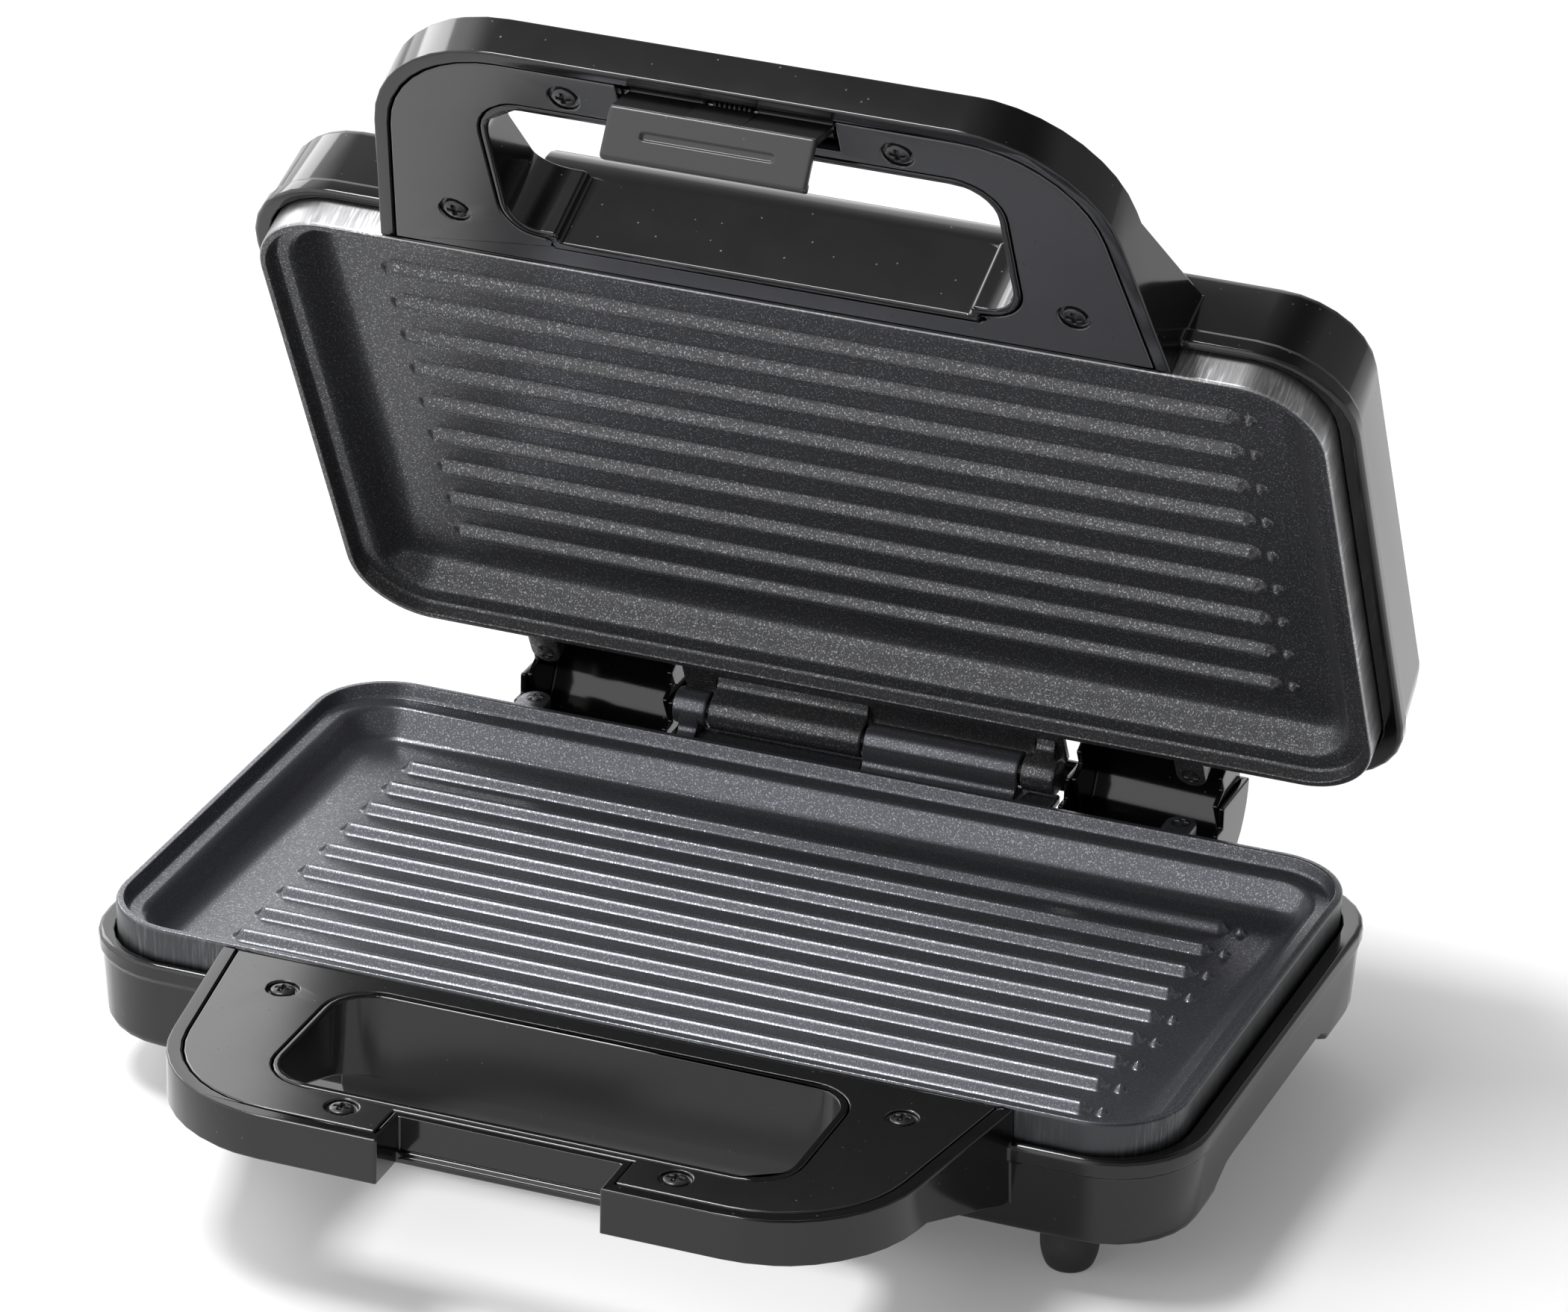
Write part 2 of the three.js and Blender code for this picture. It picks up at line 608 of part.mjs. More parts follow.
// Walls that close the handle's hollow behind and beside the latch seat.
function latchSeatWalls() {
  const walls = box(
    -SEAT_HALF_WIDTH - HANDLE_WALL, SEAT_HALF_WIDTH + HANDLE_WALL,
    HANDLE_FRONT_Y + 1, SEAT_BACK_Y + HANDLE_WALL, HANDLE_LOW_Z, HANDLE_TOP_Z,
  );
  const inner = box(
    -SEAT_HALF_WIDTH + 1, SEAT_HALF_WIDTH - 1,
    HANDLE_FRONT_Y - 5, SEAT_BACK_Y - 1, HANDLE_LOW_Z - 5, HANDLE_TOP_Z + 5,
  );
  return walls.subtract(inner);
}

function glandHole(radius, steps = 16) {
  return rodY(radius, 0, PLATE_HALF_D - 10, PLATE_HALF_D + FLANGE_REAR + 10, GLAND_Z, steps);
}

function lowerHousing() {
  const cavity = cut(shellCavity(), ...archSlabs(SHELL_WALL));
  const shell = shellHalf({
    cavity,
    coverRadius: COVER_RADIUS,
    coverOuterX: COVER_OUTER_X,
    coverInnerX: COVER_INNER_X,
    coverFrontY: PLATE_HALF_D + FLANGE_REAR - FLANGE_STEP - SHELL_DRAFT - 1,
    outerCut: null,
    step: 0,
  });
  const footHoles = Object.values(footPlaces()).map(([x, y]) => (
    rodZ(FOOT_SPIGOT_RADIUS + CLEARANCE, x, y, SHELL_OUT_Z - 1, SHELL_INNER_Z + 1)
  ));
  return cut(
    join(shell, latchSeatWalls(), coverRail()),
    latchSeatCut(),
    ...archSlabs(0),
    ...footHoles,
    ...handleScrewHoles(),
    ...lugScrewHoles(),
    glandHole(GLAND_NECK_RADIUS + CLEARANCE),
  );
}

// ---------------------------------------------------------------- upper shell

const LID_COVER_RADIUS = COVER_RADIUS - COVER_WALL - CLEARANCE;
const LID_COVER_OUTER_X = COVER_OUTER_X - COVER_END_WALL - CLEARANCE;
const LID_COVER_INNER_X = COVER_INNER_X + COVER_END_WALL + CLEARANCE;

function rearBevel(offset) {
  const rimY = PLATE_HALF_D + FLANGE_REAR - FLANGE_STEP - offset;
  const kneeY = PLATE_HALF_D + FLANGE_REAR - BEVEL_KNEE_INSET - offset;
  const kneeZ = PLATE_UNDERSIDE_Z - BEVEL_KNEE_BELOW_PLATE;
  const lowZ = SHELL_OUT_Z - 3;
  const beyond = PLATE_HALF_D + FLANGE_REAR + 20;
  const half = PLATE_HALF_W + FLANGE_SIDE + 10;
  return slab([
    [rimY, FLANGE_LOW_Z - FLANGE_STEP],
    [kneeY, kneeZ],
    [kneeY - (kneeZ - lowZ) / BEVEL_SLOPE, lowZ],
    [beyond, lowZ],
    [beyond, FLANGE_LOW_Z - FLANGE_STEP],
  ], -half, half);
}

function lampPlaces() {
  const y = -PLATE_HALF_D + LAMP_BEHIND_FRONT;
  return { power: [-LAMP_SPACING / 2, y], ready: [LAMP_SPACING / 2, y] };
}

// The latch swings in a pocket of the upper handle, between two cheeks that carry its pin.
function latchPocket() {
  const front = HANDLE_FRONT_Y + HANDLE_LIP;
  const rear = SEAT_BACK_Y + HANDLE_WALL;
  const cheekHalf = SEAT_HALF_WIDTH + HANDLE_WALL;
  const roomHalf = SEAT_HALF_WIDTH - POCKET_SHRINK;
  const cheeks = box(-cheekHalf, cheekHalf, front - 1, rear, HANDLE_LOW_Z, PANEL_SEAT_Z - 0.02);
  const room = box(-roomHalf, roomHalf, front, rear - 0.6, HANDLE_LOW_Z + HANDLE_WALL, HANDLE_TOP_Z + 5);
  return { cheeks, room };
}

function upperHousing() {
  const shell = shellHalf({
    cavity: shellCavity().subtract(rearBevel(SHELL_WALL)),
    coverRadius: LID_COVER_RADIUS,
    coverOuterX: LID_COVER_OUTER_X,
    coverInnerX: LID_COVER_INNER_X,
    coverFrontY: PLATE_HALF_D + FLANGE_REAR - BEVEL_KNEE_INSET,
    outerCut: rearBevel(0),
    step: OPENING_STEP,
  });
  const { cheeks, room } = latchPocket();
  const lampHoles = Object.values(lampPlaces()).map(([x, y]) => (
    rodZ(LAMP_RADIUS + CLEARANCE, x, y, SHELL_OUT_Z - 1, SHELL_INNER_Z + 1)
  ));
  const pinReach = SEAT_HALF_WIDTH + HANDLE_WALL - 0.6;
  return cut(
    join(shell, cheeks),
    room,
    rodX(LATCH_PIN_RADIUS + CLEARANCE, -pinReach, pinReach, PIVOT_Y, PIVOT_Z, 12),
    ...lampHoles,
    ...handleScrewHoles(),
    ...lugScrewHoles(),
  );
}

// ---------------------------------------------------------------- cooking plate

function platePocket() {
  const ledgeZ = -PLATE_RIM_RELIEF - RIM_WALL_DEPTH;
  const ledgeIn = RIM_WIDTH + LEDGE_WIDTH;
  return stack([
    plateLevel(TRAY_FLOOR_Z, ledgeIn + TRAY_SLOPE_SIDE, ledgeIn + TRAY_SLOPE_END),
    plateLevel(TRAY_FLOOR_Z + 1.6, ledgeIn + TRAY_SLOPE_SIDE * 0.72, ledgeIn + TRAY_SLOPE_END * 0.7),
    plateLevel(ledgeZ - 1.2, ledgeIn + 0.6, ledgeIn + 0.5),
    plateLevel(ledgeZ, ledgeIn - 1, ledgeIn - 1),
    plateLevel(ledgeZ + 0.4, RIM_WIDTH + 0.9, RIM_WIDTH + 0.9),
    plateLevel(-PLATE_RIM_RELIEF, RIM_WIDTH, RIM_WIDTH),
    plateLevel(5, RIM_WIDTH, RIM_WIDTH),
  ]);
}

function plateBlank() {
  return stack([
    plateLevel(PLATE_UNDERSIDE_Z, UNDERSIDE_INSET, UNDERSIDE_INSET),
    plateLevel(FLANGE_LOW_Z + 1.2, 0.4, 0.4),
    plateLevel(-PLATE_RIM_RELIEF - 0.8, 0, 0),
    plateLevel(-PLATE_RIM_RELIEF, 0.7, 0.7),
  ]);
}

function ridge(index) {
  const geometry = new THREE.CapsuleGeometry(RIDGE_RADIUS, RIDGE_LENGTH - 2 * RIDGE_RADIUS, 3, 10);
  geometry.rotateZ(Math.PI / 2);
  const y = RIDGE_SHIFT + (index - (RIDGE_COUNT - 1) / 2) * RIDGE_PITCH;
  geometry.translate(0, y, TRAY_FLOOR_Z);
  return solid(geometry);
}

function plateLug(side) {
  const x = side * LUG_X;
  const ear = rodZ(LUG_RADIUS, x, LUG_Y, LUG_LOW_Z, -LUG_TOP_DROP);
  const neck = box(x - LUG_RADIUS, x + LUG_RADIUS, PLATE_HALF_D - 2, LUG_Y, LUG_LOW_Z, -LUG_TOP_DROP);
  return join(ear, neck);
}

function plateLugCuts(side) {
  const x = side * LUG_X;
  const well = rodZ(SCREW_HEAD_RADIUS + CLEARANCE, x, LUG_Y, -LUG_TOP_DROP - SCREW_WELL_DEPTH, 5);
  const hole = rodZ(SCREW_SHANK_RADIUS + CLEARANCE, x, LUG_Y, LUG_LOW_Z - 5, 5, 12);
  return [well, hole];
}

// Web along the back edge, one long barrel on the right and a short knuckle on the left.
function hingeCasting() {
  const webLow = -WEB_TOP - WEB_THICKNESS;
  const web = slab([
    [PLATE_HALF_D - 1, webLow],
    [HINGE_Y + WEB_OVERHANG, webLow],
    [HINGE_Y + WEB_OVERHANG, -WEB_TOP],
    [PLATE_HALF_D - 1, -WEB_TOP],
  ], -HINGE_HALF_WIDTH, HINGE_HALF_WIDTH);
  const stem = (x0, x1) => slab([
    [HINGE_Y - BARREL_RADIUS, 0],
    [HINGE_Y - BARREL_RADIUS, webLow + 0.5],
    [HINGE_Y + 0.5, webLow + 0.5],
    [HINGE_Y + 0.5, 0],
  ], x0, x1);
  const longFrom = BARREL_GAP / 2;
  const shortFrom = BARREL_END + BARREL_GAP;
  const neckMiddle = -(shortFrom + HINGE_HALF_WIDTH) / 2;
  return join(
    web,
    rodX(BARREL_RADIUS, longFrom, BARREL_END, HINGE_Y, 0, 20),
    stem(longFrom, BARREL_END),
    rodX(BARREL_RADIUS, -HINGE_HALF_WIDTH, -shortFrom, HINGE_Y, 0, 20),
    stem(neckMiddle - KNUCKLE_NECK / 2, neckMiddle + KNUCKLE_NECK / 2),
  );
}

function cookingPlate() {
  const ridges = Array.from({ length: RIDGE_COUNT }, (_, index) => ridge(index));
  const tray = join(plateBlank().subtract(platePocket()), ...ridges);
  const casting = join(tray, hingeCasting(), ...SIDES.map(plateLug));
  const boreHalf = HINGE_HALF_WIDTH + 5;
  const bore = rodX(HINGE_PIN_RADIUS + CLEARANCE, -boreHalf, boreHalf, HINGE_Y, 0, 12);
  return cut(casting, bore, ...SIDES.flatMap(plateLugCuts));
}

// ---------------------------------------------------------------- cover panels and fastenings

function panelWells() {
  return handleScrewPlaces().flatMap(([x, y]) => [
    rodZ(SCREW_WELL_RADIUS, x, y, HANDLE_TOP_Z - SCREW_WELL_DEPTH, HANDLE_TOP_Z + 5),
    rodZ(SCREW_SHANK_RADIUS + CLEARANCE, x, y, PANEL_SEAT_Z - 5, HANDLE_TOP_Z + 5, 12),
  ]);
}

function latchPanelCut(halfWidth, rearY) {
  return box(-halfWidth, halfWidth, HANDLE_FRONT_Y - 5, rearY, PANEL_SEAT_Z - 5, HANDLE_TOP_Z + 5);
}

function lowerPanel() {
  const wall = HANDLE_WALL + PANEL_GAP;
  return cut(panelSeat(0, 0), ...panelWells(), latchPanelCut(SEAT_HALF_WIDTH + wall, SEAT_BACK_Y + wall));
}

function upperPanel() {
  const blank = panelSeat(0, OPENING_STEP);
  return cut(blank, ...panelWells(), latchPanelCut(SEAT_HALF_WIDTH - POCKET_SHRINK, SEAT_BACK_Y + 1));
}

// Pan-head screw with a cross recess, its shank along -Z and the top of the head at z = 0.
function screw() {
  const profile = [
    [0, -SCREW_LENGTH],
    [SCREW_SHANK_RADIUS, -SCREW_LENGTH],
    [SCREW_SHANK_RADIUS, -SCREW_HEAD_HEIGHT],
    [SCREW_HEAD_RADIUS, -SCREW_HEAD_HEIGHT],
    [SCREW_HEAD_RADIUS, -0.7],
    [SCREW_HEAD_RADIUS - 0.8, 0],
    [0, 0],
  ].map(([r, z]) => new THREE.Vector2(r, z));
  const geometry = new THREE.LatheGeometry(profile, 12);
  geometry.rotateX(Math.PI / 2);
  const arm = SCREW_HEAD_RADIUS * 0.55;
  return cut(
    solid(geometry),
    box(-arm, arm, -0.35, 0.35, -0.9, 1),
    box(-0.35, 0.35, -arm, arm, -0.9, 1),
  );
}

function foot() {
  const profile = [
    [0, -FOOT_HEIGHT],
    [FOOT_FLAT_RADIUS, -FOOT_HEIGHT],
    [FOOT_RADIUS - 1.2, -FOOT_HEIGHT + 1.6],
    [FOOT_RADIUS - 0.3, -FOOT_HEIGHT + 4.2],
    [FOOT_RADIUS, -CLEARANCE],
    [FOOT_SPIGOT_RADIUS, -CLEARANCE],
    [FOOT_SPIGOT_RADIUS, SHELL_WALL + 1],
    [0, SHELL_WALL + 1],
  ].map(([r, z]) => new THREE.Vector2(r, z));
  const geometry = new THREE.LatheGeometry(profile, 20);
  geometry.rotateX(Math.PI / 2);
  return solid(geometry);
}

// ---------------------------------------------------------------- latch

function latchBody() {
  const slope = [LATCH_NOSE_OUT - LATCH_TIP_OUT, LATCH_TIP_ALONG - LATCH_NOSE_ALONG];
  const out = new THREE.Vector2(...slope).normalize();
  const nose = new THREE.Vector2(-LATCH_NOSE_OUT, LATCH_NOSE_ALONG);
  const tip = new THREE.Vector2(-LATCH_TIP_OUT, LATCH_TIP_ALONG);
  const inward = new THREE.Vector2(out.y, -out.x);
  const along = (from, down, across) => {
    const point = from.clone().addScaledVector(out, down).addScaledVector(inward, across);
    return [point.x, point.y];
  };
  const plate = slab([
    along(nose, 0, LATCH_SHEET),
    along(nose, 0, 0.6),
    along(nose, 0.6, 0),
    along(tip, -0.8, 0),
    along(tip, 0, 0.8),
    along(tip, 0, LATCH_HOOK),
    along(tip, -1.8, LATCH_HOOK),
    along(tip, -1.8, LATCH_SHEET),
  ], -LATCH_HALF_WIDTH, LATCH_HALF_WIDTH);
  const arm = nose.clone().normalize();
  const across = new THREE.Vector2(-arm.y, arm.x).multiplyScalar(LATCH_SHEET / 2);
  const noseEnd = new THREE.Vector2(...along(nose, 0.3, LATCH_SHEET * 0.8));
  const web = slab([
    [across.x, across.y],
    [-across.x, -across.y],
    [noseEnd.x - across.x, noseEnd.y - across.y],
    [noseEnd.x + across.x, noseEnd.y + across.y],
  ], -LATCH_HALF_WIDTH, LATCH_HALF_WIDTH);
  const hub = rodX(LATCH_HUB_RADIUS, -LATCH_HALF_WIDTH, LATCH_HALF_WIDTH, 0, 0, 16);
  const bore = rodX(LATCH_PIN_RADIUS + CLEARANCE, -LATCH_HALF_WIDTH - 1, LATCH_HALF_WIDTH + 1, 0, 0, 12);
  const springRoom = SPRING_HALF_LENGTH + RUNNING_GAP;
  const reach = LATCH_HUB_RADIUS + RUNNING_GAP;
  const groove = embossedGroove(nose, out, inward);
  return cut(
    join(plate, web, hub),
    bore,
    box(-springRoom, springRoom, -reach, reach, -reach, reach),
    groove,
  );
}

// Shallow pressed line across the middle of the latch face.
function embossedGroove(nose, out, inward) {
  const at = (down, across) => {
    const point = nose.clone().addScaledVector(out, down).addScaledVector(inward, across);
    return [point.x, point.y];
  };
  const top = (LATCH_TIP_ALONG - LATCH_NOSE_ALONG) * 0.5 - GROOVE_WIDTH / 2;
  const low = top + GROOVE_WIDTH;
  const profile = [at(top, -1), at(low, -1), at(low, GROOVE_DEPTH), at(top, GROOVE_DEPTH)];
  return slab(profile, -GROOVE_HALF_LENGTH, GROOVE_HALF_LENGTH);
}

function latchSpring() {
  const outer = LATCH_HUB_RADIUS - 0.3;
  const coil = rodX(outer, -SPRING_HALF_LENGTH, SPRING_HALF_LENGTH, 0, 0, 14);
  const legX = SPRING_HALF_LENGTH - 1;
  const rest = HANDLE_LOW_Z + HANDLE_WALL - PIVOT_Z + CLEARANCE;
  const leg = box(-legX, -legX + 0.9, outer - 1.2, outer + 0.4, rest, 0);
  return cut(join(coil, leg), rodX(LATCH_PIN_RADIUS + CLEARANCE, -legX - 5, legX + 5, 0, 0, 12));
}

// ---------------------------------------------------------------- heating and wiring

function heater() {
  const w = PLATE_HALF_W - HEATER_INSET_SIDE;
  const rear = PLATE_HALF_D - HEATER_INSET_END;
  const front = -rear;
  const path = new THREE.CurvePath();
  const at = (x, y) => new THREE.Vector3(x, y, 0);
  const along = w - HEATER_BEND;
  const back = front + HEATER_BEND;
  path.add(new THREE.LineCurve3(at(-w, rear), at(-w, back)));
  path.add(new THREE.QuadraticBezierCurve3(at(-w, back), at(-w, front), at(-along, front)));
  path.add(new THREE.LineCurve3(at(-along, front), at(along, front)));
  path.add(new THREE.QuadraticBezierCurve3(at(along, front), at(w, front), at(w, back)));
  path.add(new THREE.LineCurve3(at(w, back), at(w, rear)));
  const ring = new THREE.Shape();
  for (let step = 0; step < 8; step += 1) {
    const angle = (step / 8) * Math.PI * 2 + Math.PI / 8;
    const point = [HEATER_RADIUS * Math.cos(angle), HEATER_RADIUS * Math.sin(angle)];
    if (step === 0) ring.moveTo(...point);
    else ring.lineTo(...point);
  }
  ring.closePath();
  return solid(new THREE.ExtrudeGeometry(ring, { steps: 36, extrudePath: path, bevelEnabled: false }));
}

function heatShield() {
  const w = PLATE_HALF_W - SHIELD_INSET_SIDE;
  const d = PLATE_HALF_D - SHIELD_INSET_END;
  const outer = stack([[-SHIELD_SHEET, w - 1, -d + 1, d - 1, 9], [SHIELD_LIP, w, -d, d, 10]]);
  const inner = stack([[0, w - 2, -d + 2, d - 2, 8], [SHIELD_LIP + 1, w - 1, -d + 1, d - 1, 9]]);
  return outer.subtract(inner);
}

function thermostat() {
  const { radius, height } = THERMOSTAT;
  const base = rodZ(radius, 0, 0, -height * 0.4, 0, 20);
  const stem = rodZ(radius * 0.55, 0, 0, -height, -height * 0.3, 14);
  return join(base, stem);
}

function thermalFuse() {
  const { radius, length } = FUSE;
  return join(
    rodX(radius, -length / 2, length / 2, 0, 0, 12),
    rodX(radius * 0.4, -length * 0.8, length * 0.8, 0, 0, 8),
  );
}

function terminalBlock() {
  const { width, depth, height } = TERMINALS;
  const wells = [-1, 0, 1].map((slot) => rodZ(1.9, (slot * width) / 3.4, 0, height * 0.4, height + 1, 10));
  return cut(box(-width / 2, width / 2, -depth / 2, depth / 2, 0, height), ...wells);
}

function cordGland() {
  const wallY = PLATE_HALF_D + FLANGE_REAR - FLANGE_STEP - SHELL_DRAFT;
  const collar = rodY(GLAND_RADIUS, 0, wallY + CLEARANCE + 1, wallY + 5, GLAND_Z);
  const neck = rodY(GLAND_NECK_RADIUS, 0, wallY - SHELL_WALL - GLAND_TAIL, wallY + 3, GLAND_Z);
  return join(collar, neck).subtract(glandHole(GLAND_BORE_RADIUS, 12));
}

function lampLens() {
  const flange = rodZ(LAMP_RADIUS + 1, 0, 0, SHELL_WALL + CLEARANCE, SHELL_WALL + CLEARANCE + 1, 14);
  const window = rodZ(LAMP_RADIUS, 0, 0, -0.6, SHELL_WALL + CLEARANCE + 0.5, 14);
  return join(flange, window);
}

function lampHolder() {
  const { width, depth, height } = LAMP_HOLDER;
  const half = LAMP_SPACING / 2;
  const seats = SIDES.map((side) => rodZ(LAMP_RADIUS - 0.6, side * half, 0, -1, height * 0.6, 12));
  return cut(box(-width / 2, width / 2, -depth / 2, depth / 2, 0, height), ...seats);
}

// ---------------------------------------------------------------- assembly

const LOOK = {
  gloss: { color: 0x0c0c0d, roughness: 0.18, metalness: 0 },
  panel: { color: 0x101011, roughness: 0.22, metalness: 0 },
  coating: { color: 0x3a3b3f, roughness: 0.42, metalness: 0.55 },
  darkSteel: { color: 0x1b1b1c, roughness: 0.35, metalness: 0.85 },
  steel: { color: 0x9a9b9d, roughness: 0.3, metalness: 1 },
  aluminised: { color: 0xb4b6b8, roughness: 0.4, metalness: 1 },
  rubber: { color: 0x121212, roughness: 0.8, metalness: 0 },
  latch: { color: 0x191919, roughness: 0.3, metalness: 0.1 },
  element: { color: 0x54514c, roughness: 0.6, metalness: 0.8 },
  ceramic: { color: 0xd8d2c4, roughness: 0.7, metalness: 0 },
  red: { color: 0xa01414, roughness: 0.25, metalness: 0 },
  green: { color: 0x168a32, roughness: 0.25, metalness: 0 },
};

function mesh(name, body, look, position = [0, 0, 0], rotationX = 0) {
  const piece = new THREE.Mesh(toGeometry(body), new THREE.MeshStandardMaterial(LOOK[look]));
  piece.name = name;
  piece.position.set(...position);
  piece.rotation.x = rotationX;
  return piece;
}

function addScrews(group, half) {
  const corners = ["rear_left", "rear_right", "front_left", "front_right"];
  const top = HANDLE_TOP_Z - SCREW_WELL_DEPTH + SCREW_HEAD_HEIGHT + CLEARANCE / 4;
  handleScrewPlaces().forEach(([x, y], index) => {
    group.add(mesh(`${half}_handle_screw_${corners[index]}`, screw(), "darkSteel", [x, y, top]));
  });
  const lugTop = -LUG_TOP_DROP - SCREW_WELL_DEPTH + SCREW_HEAD_HEIGHT + CLEARANCE / 4;
  for (const side of SIDES) {
    const name = `${half}_plate_screw_${side < 0 ? "left" : "right"}`;
    group.add(mesh(name, screw(), "darkSteel", [side * LUG_X, LUG_Y, lugTop]));
  }
}

function addHeating(group, half) {
  group.add(mesh(`${half}_heater`, heater(), "element", [0, 0, HEATER_Z]));
  group.add(mesh(`${half}_heat_shield`, heatShield(), "aluminised", [0, 0, SHIELD_Z]));
}

function lowerHalf() {
  const half = new THREE.Group();
  half.position.z = PARTING_Z;
  half.add(mesh("lower_housing", lowerHousing(), "gloss"));
  half.add(mesh("lower_plate", cookingPlate(), "coating"));
  half.add(mesh("lower_handle_panel", lowerPanel(), "panel"));
  addScrews(half, "lower");
  addHeating(half, "lower");
  for (const [corner, [x, y]] of Object.entries(footPlaces())) {
    half.add(mesh(`foot_${corner}`, foot(), "rubber", [x, y, SHELL_OUT_Z]));
  }
  const underPlate = PLATE_UNDERSIDE_Z - CLEARANCE;
  half.add(mesh("thermostat", thermostat(), "ceramic", [THERMOSTAT.x, THERMOSTAT.y, underPlate]));
  half.add(mesh("thermal_fuse", thermalFuse(), "ceramic", [FUSE.x, FUSE.y, underPlate - FUSE.radius]));
  const blockFoot = SHELL_INNER_Z + CLEARANCE;
  const blockY = PLATE_HALF_D - TERMINALS.insetEnd;
  half.add(mesh("terminal_block", terminalBlock(), "ceramic", [0, blockY, blockFoot]));
  half.add(mesh("cord_gland", cordGland(), "rubber"));
  const pin = rodX(HINGE_PIN_RADIUS, -HINGE_HALF_WIDTH + 0.5, HINGE_HALF_WIDTH - 0.5, 0, 0, 12);
  half.add(mesh("hinge_pin", pin, "steel", [0, HINGE_Y, 0]));
  return half;
}

// The upper half is the same half turned over about the Y axis.
function upperHalf() {
  const half = new THREE.Group();
  half.rotation.y = Math.PI;
  half.add(mesh("upper_housing", upperHousing(), "gloss"));
  half.add(mesh("upper_plate", cookingPlate(), "coating"));
  half.add(mesh("upper_handle_panel", upperPanel(), "panel"));
  addScrews(half, "upper");
  addHeating(half, "upper");
  const { power, ready } = lampPlaces();
  half.add(mesh("power_lamp_lens", lampLens(), "red", [...power, SHELL_OUT_Z]));
  half.add(mesh("ready_lamp_lens", lampLens(), "green", [...ready, SHELL_OUT_Z]));
  const holderFoot = SHELL_INNER_Z + CLEARANCE * 2 + 1;
  half.add(mesh("lamp_holder", lampHolder(), "ceramic", [0, power[1], holderFoot]));
  half.add(mesh("latch", latchBody(), "latch", [0, PIVOT_Y, PIVOT_Z]));
  const pinHalf = SEAT_HALF_WIDTH + HANDLE_WALL - 0.6 - CLEARANCE;
  const pin = rodX(LATCH_PIN_RADIUS, -pinHalf, pinHalf, 0, 0, 12);
  half.add(mesh("latch_pin", pin, "steel", [0, PIVOT_Y, PIVOT_Z]));
  half.add(mesh("latch_spring", latchSpring(), "steel", [0, PIVOT_Y, PIVOT_Z]));
  return half;
}

function grill() {
  const group = new THREE.Group();
  group.add(lowerHalf());
  const hinge = new THREE.Group();
  hinge.position.set(0, HINGE_Y, PARTING_Z);
  hinge.rotation.x = -THREE.MathUtils.degToRad(LID_ANGLE);
  const upper = upperHalf();
  upper.position.y = -HINGE_Y;
  hinge.add(upper);
  group.add(hinge);
  const extent = new THREE.Box3().setFromObject(group, true);
  group.position.y = -(extent.min.y + extent.max.y) / 2;
  return group;
}

export default grill();
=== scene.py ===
"""Looks of a two-plate contact grill with loop handles and a front snap latch.

Both halves share one drawing frame, in millimetres: z = 0 is the plane where the two plate rims meet,
the body lies below it, y = 0 is mid-plate and +y runs to the hinge. HalfFrame places such a shape on
the lower half as drawn, or on the lid turned over and swung open.
"""

import json
import logging
import math
from dataclasses import dataclass, field
from enum import Enum
from typing import Sequence, Union

import bmesh
import bpy
import numpy as np
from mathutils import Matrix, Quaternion, Vector

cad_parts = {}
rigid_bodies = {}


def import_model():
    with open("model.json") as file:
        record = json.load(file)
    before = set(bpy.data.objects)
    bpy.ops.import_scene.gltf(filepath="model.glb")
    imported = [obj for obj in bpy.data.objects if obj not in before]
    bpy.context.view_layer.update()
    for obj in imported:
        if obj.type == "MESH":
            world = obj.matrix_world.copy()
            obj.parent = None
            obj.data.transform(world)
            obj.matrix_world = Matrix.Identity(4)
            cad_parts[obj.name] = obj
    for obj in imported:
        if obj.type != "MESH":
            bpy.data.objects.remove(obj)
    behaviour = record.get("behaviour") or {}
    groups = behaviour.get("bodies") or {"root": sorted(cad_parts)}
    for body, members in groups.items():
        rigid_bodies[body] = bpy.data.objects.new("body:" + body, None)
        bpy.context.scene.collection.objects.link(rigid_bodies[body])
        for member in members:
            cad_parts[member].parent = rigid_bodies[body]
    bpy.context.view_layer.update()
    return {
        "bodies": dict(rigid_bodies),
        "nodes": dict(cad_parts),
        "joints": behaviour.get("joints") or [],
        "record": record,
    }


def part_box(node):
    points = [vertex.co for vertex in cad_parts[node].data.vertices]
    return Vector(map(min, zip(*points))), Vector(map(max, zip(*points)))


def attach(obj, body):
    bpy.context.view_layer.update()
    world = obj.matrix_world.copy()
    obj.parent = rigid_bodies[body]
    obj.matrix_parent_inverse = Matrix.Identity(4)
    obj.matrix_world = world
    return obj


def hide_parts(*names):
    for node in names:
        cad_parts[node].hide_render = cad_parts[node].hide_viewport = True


LOG = logging.getLogger("contact_grill")
MM = 0.001  # metres
HINGE_BEHIND = 94.0  # millimetres from mid-plate to the hinge axis
WELD = 0.00001  # metres
REFINED_CREASE = 44.0  # degrees
BEVEL_FROM = 32.0  # degrees
BEVEL_SEGMENTS = 3
Colour = tuple[float, float, float]


class Side(Enum):
    """Which half of the grill a piece belongs to."""

    LOWER = "lower"
    UPPER = "upper"


# ---------------------------------------------------------------- shader expressions


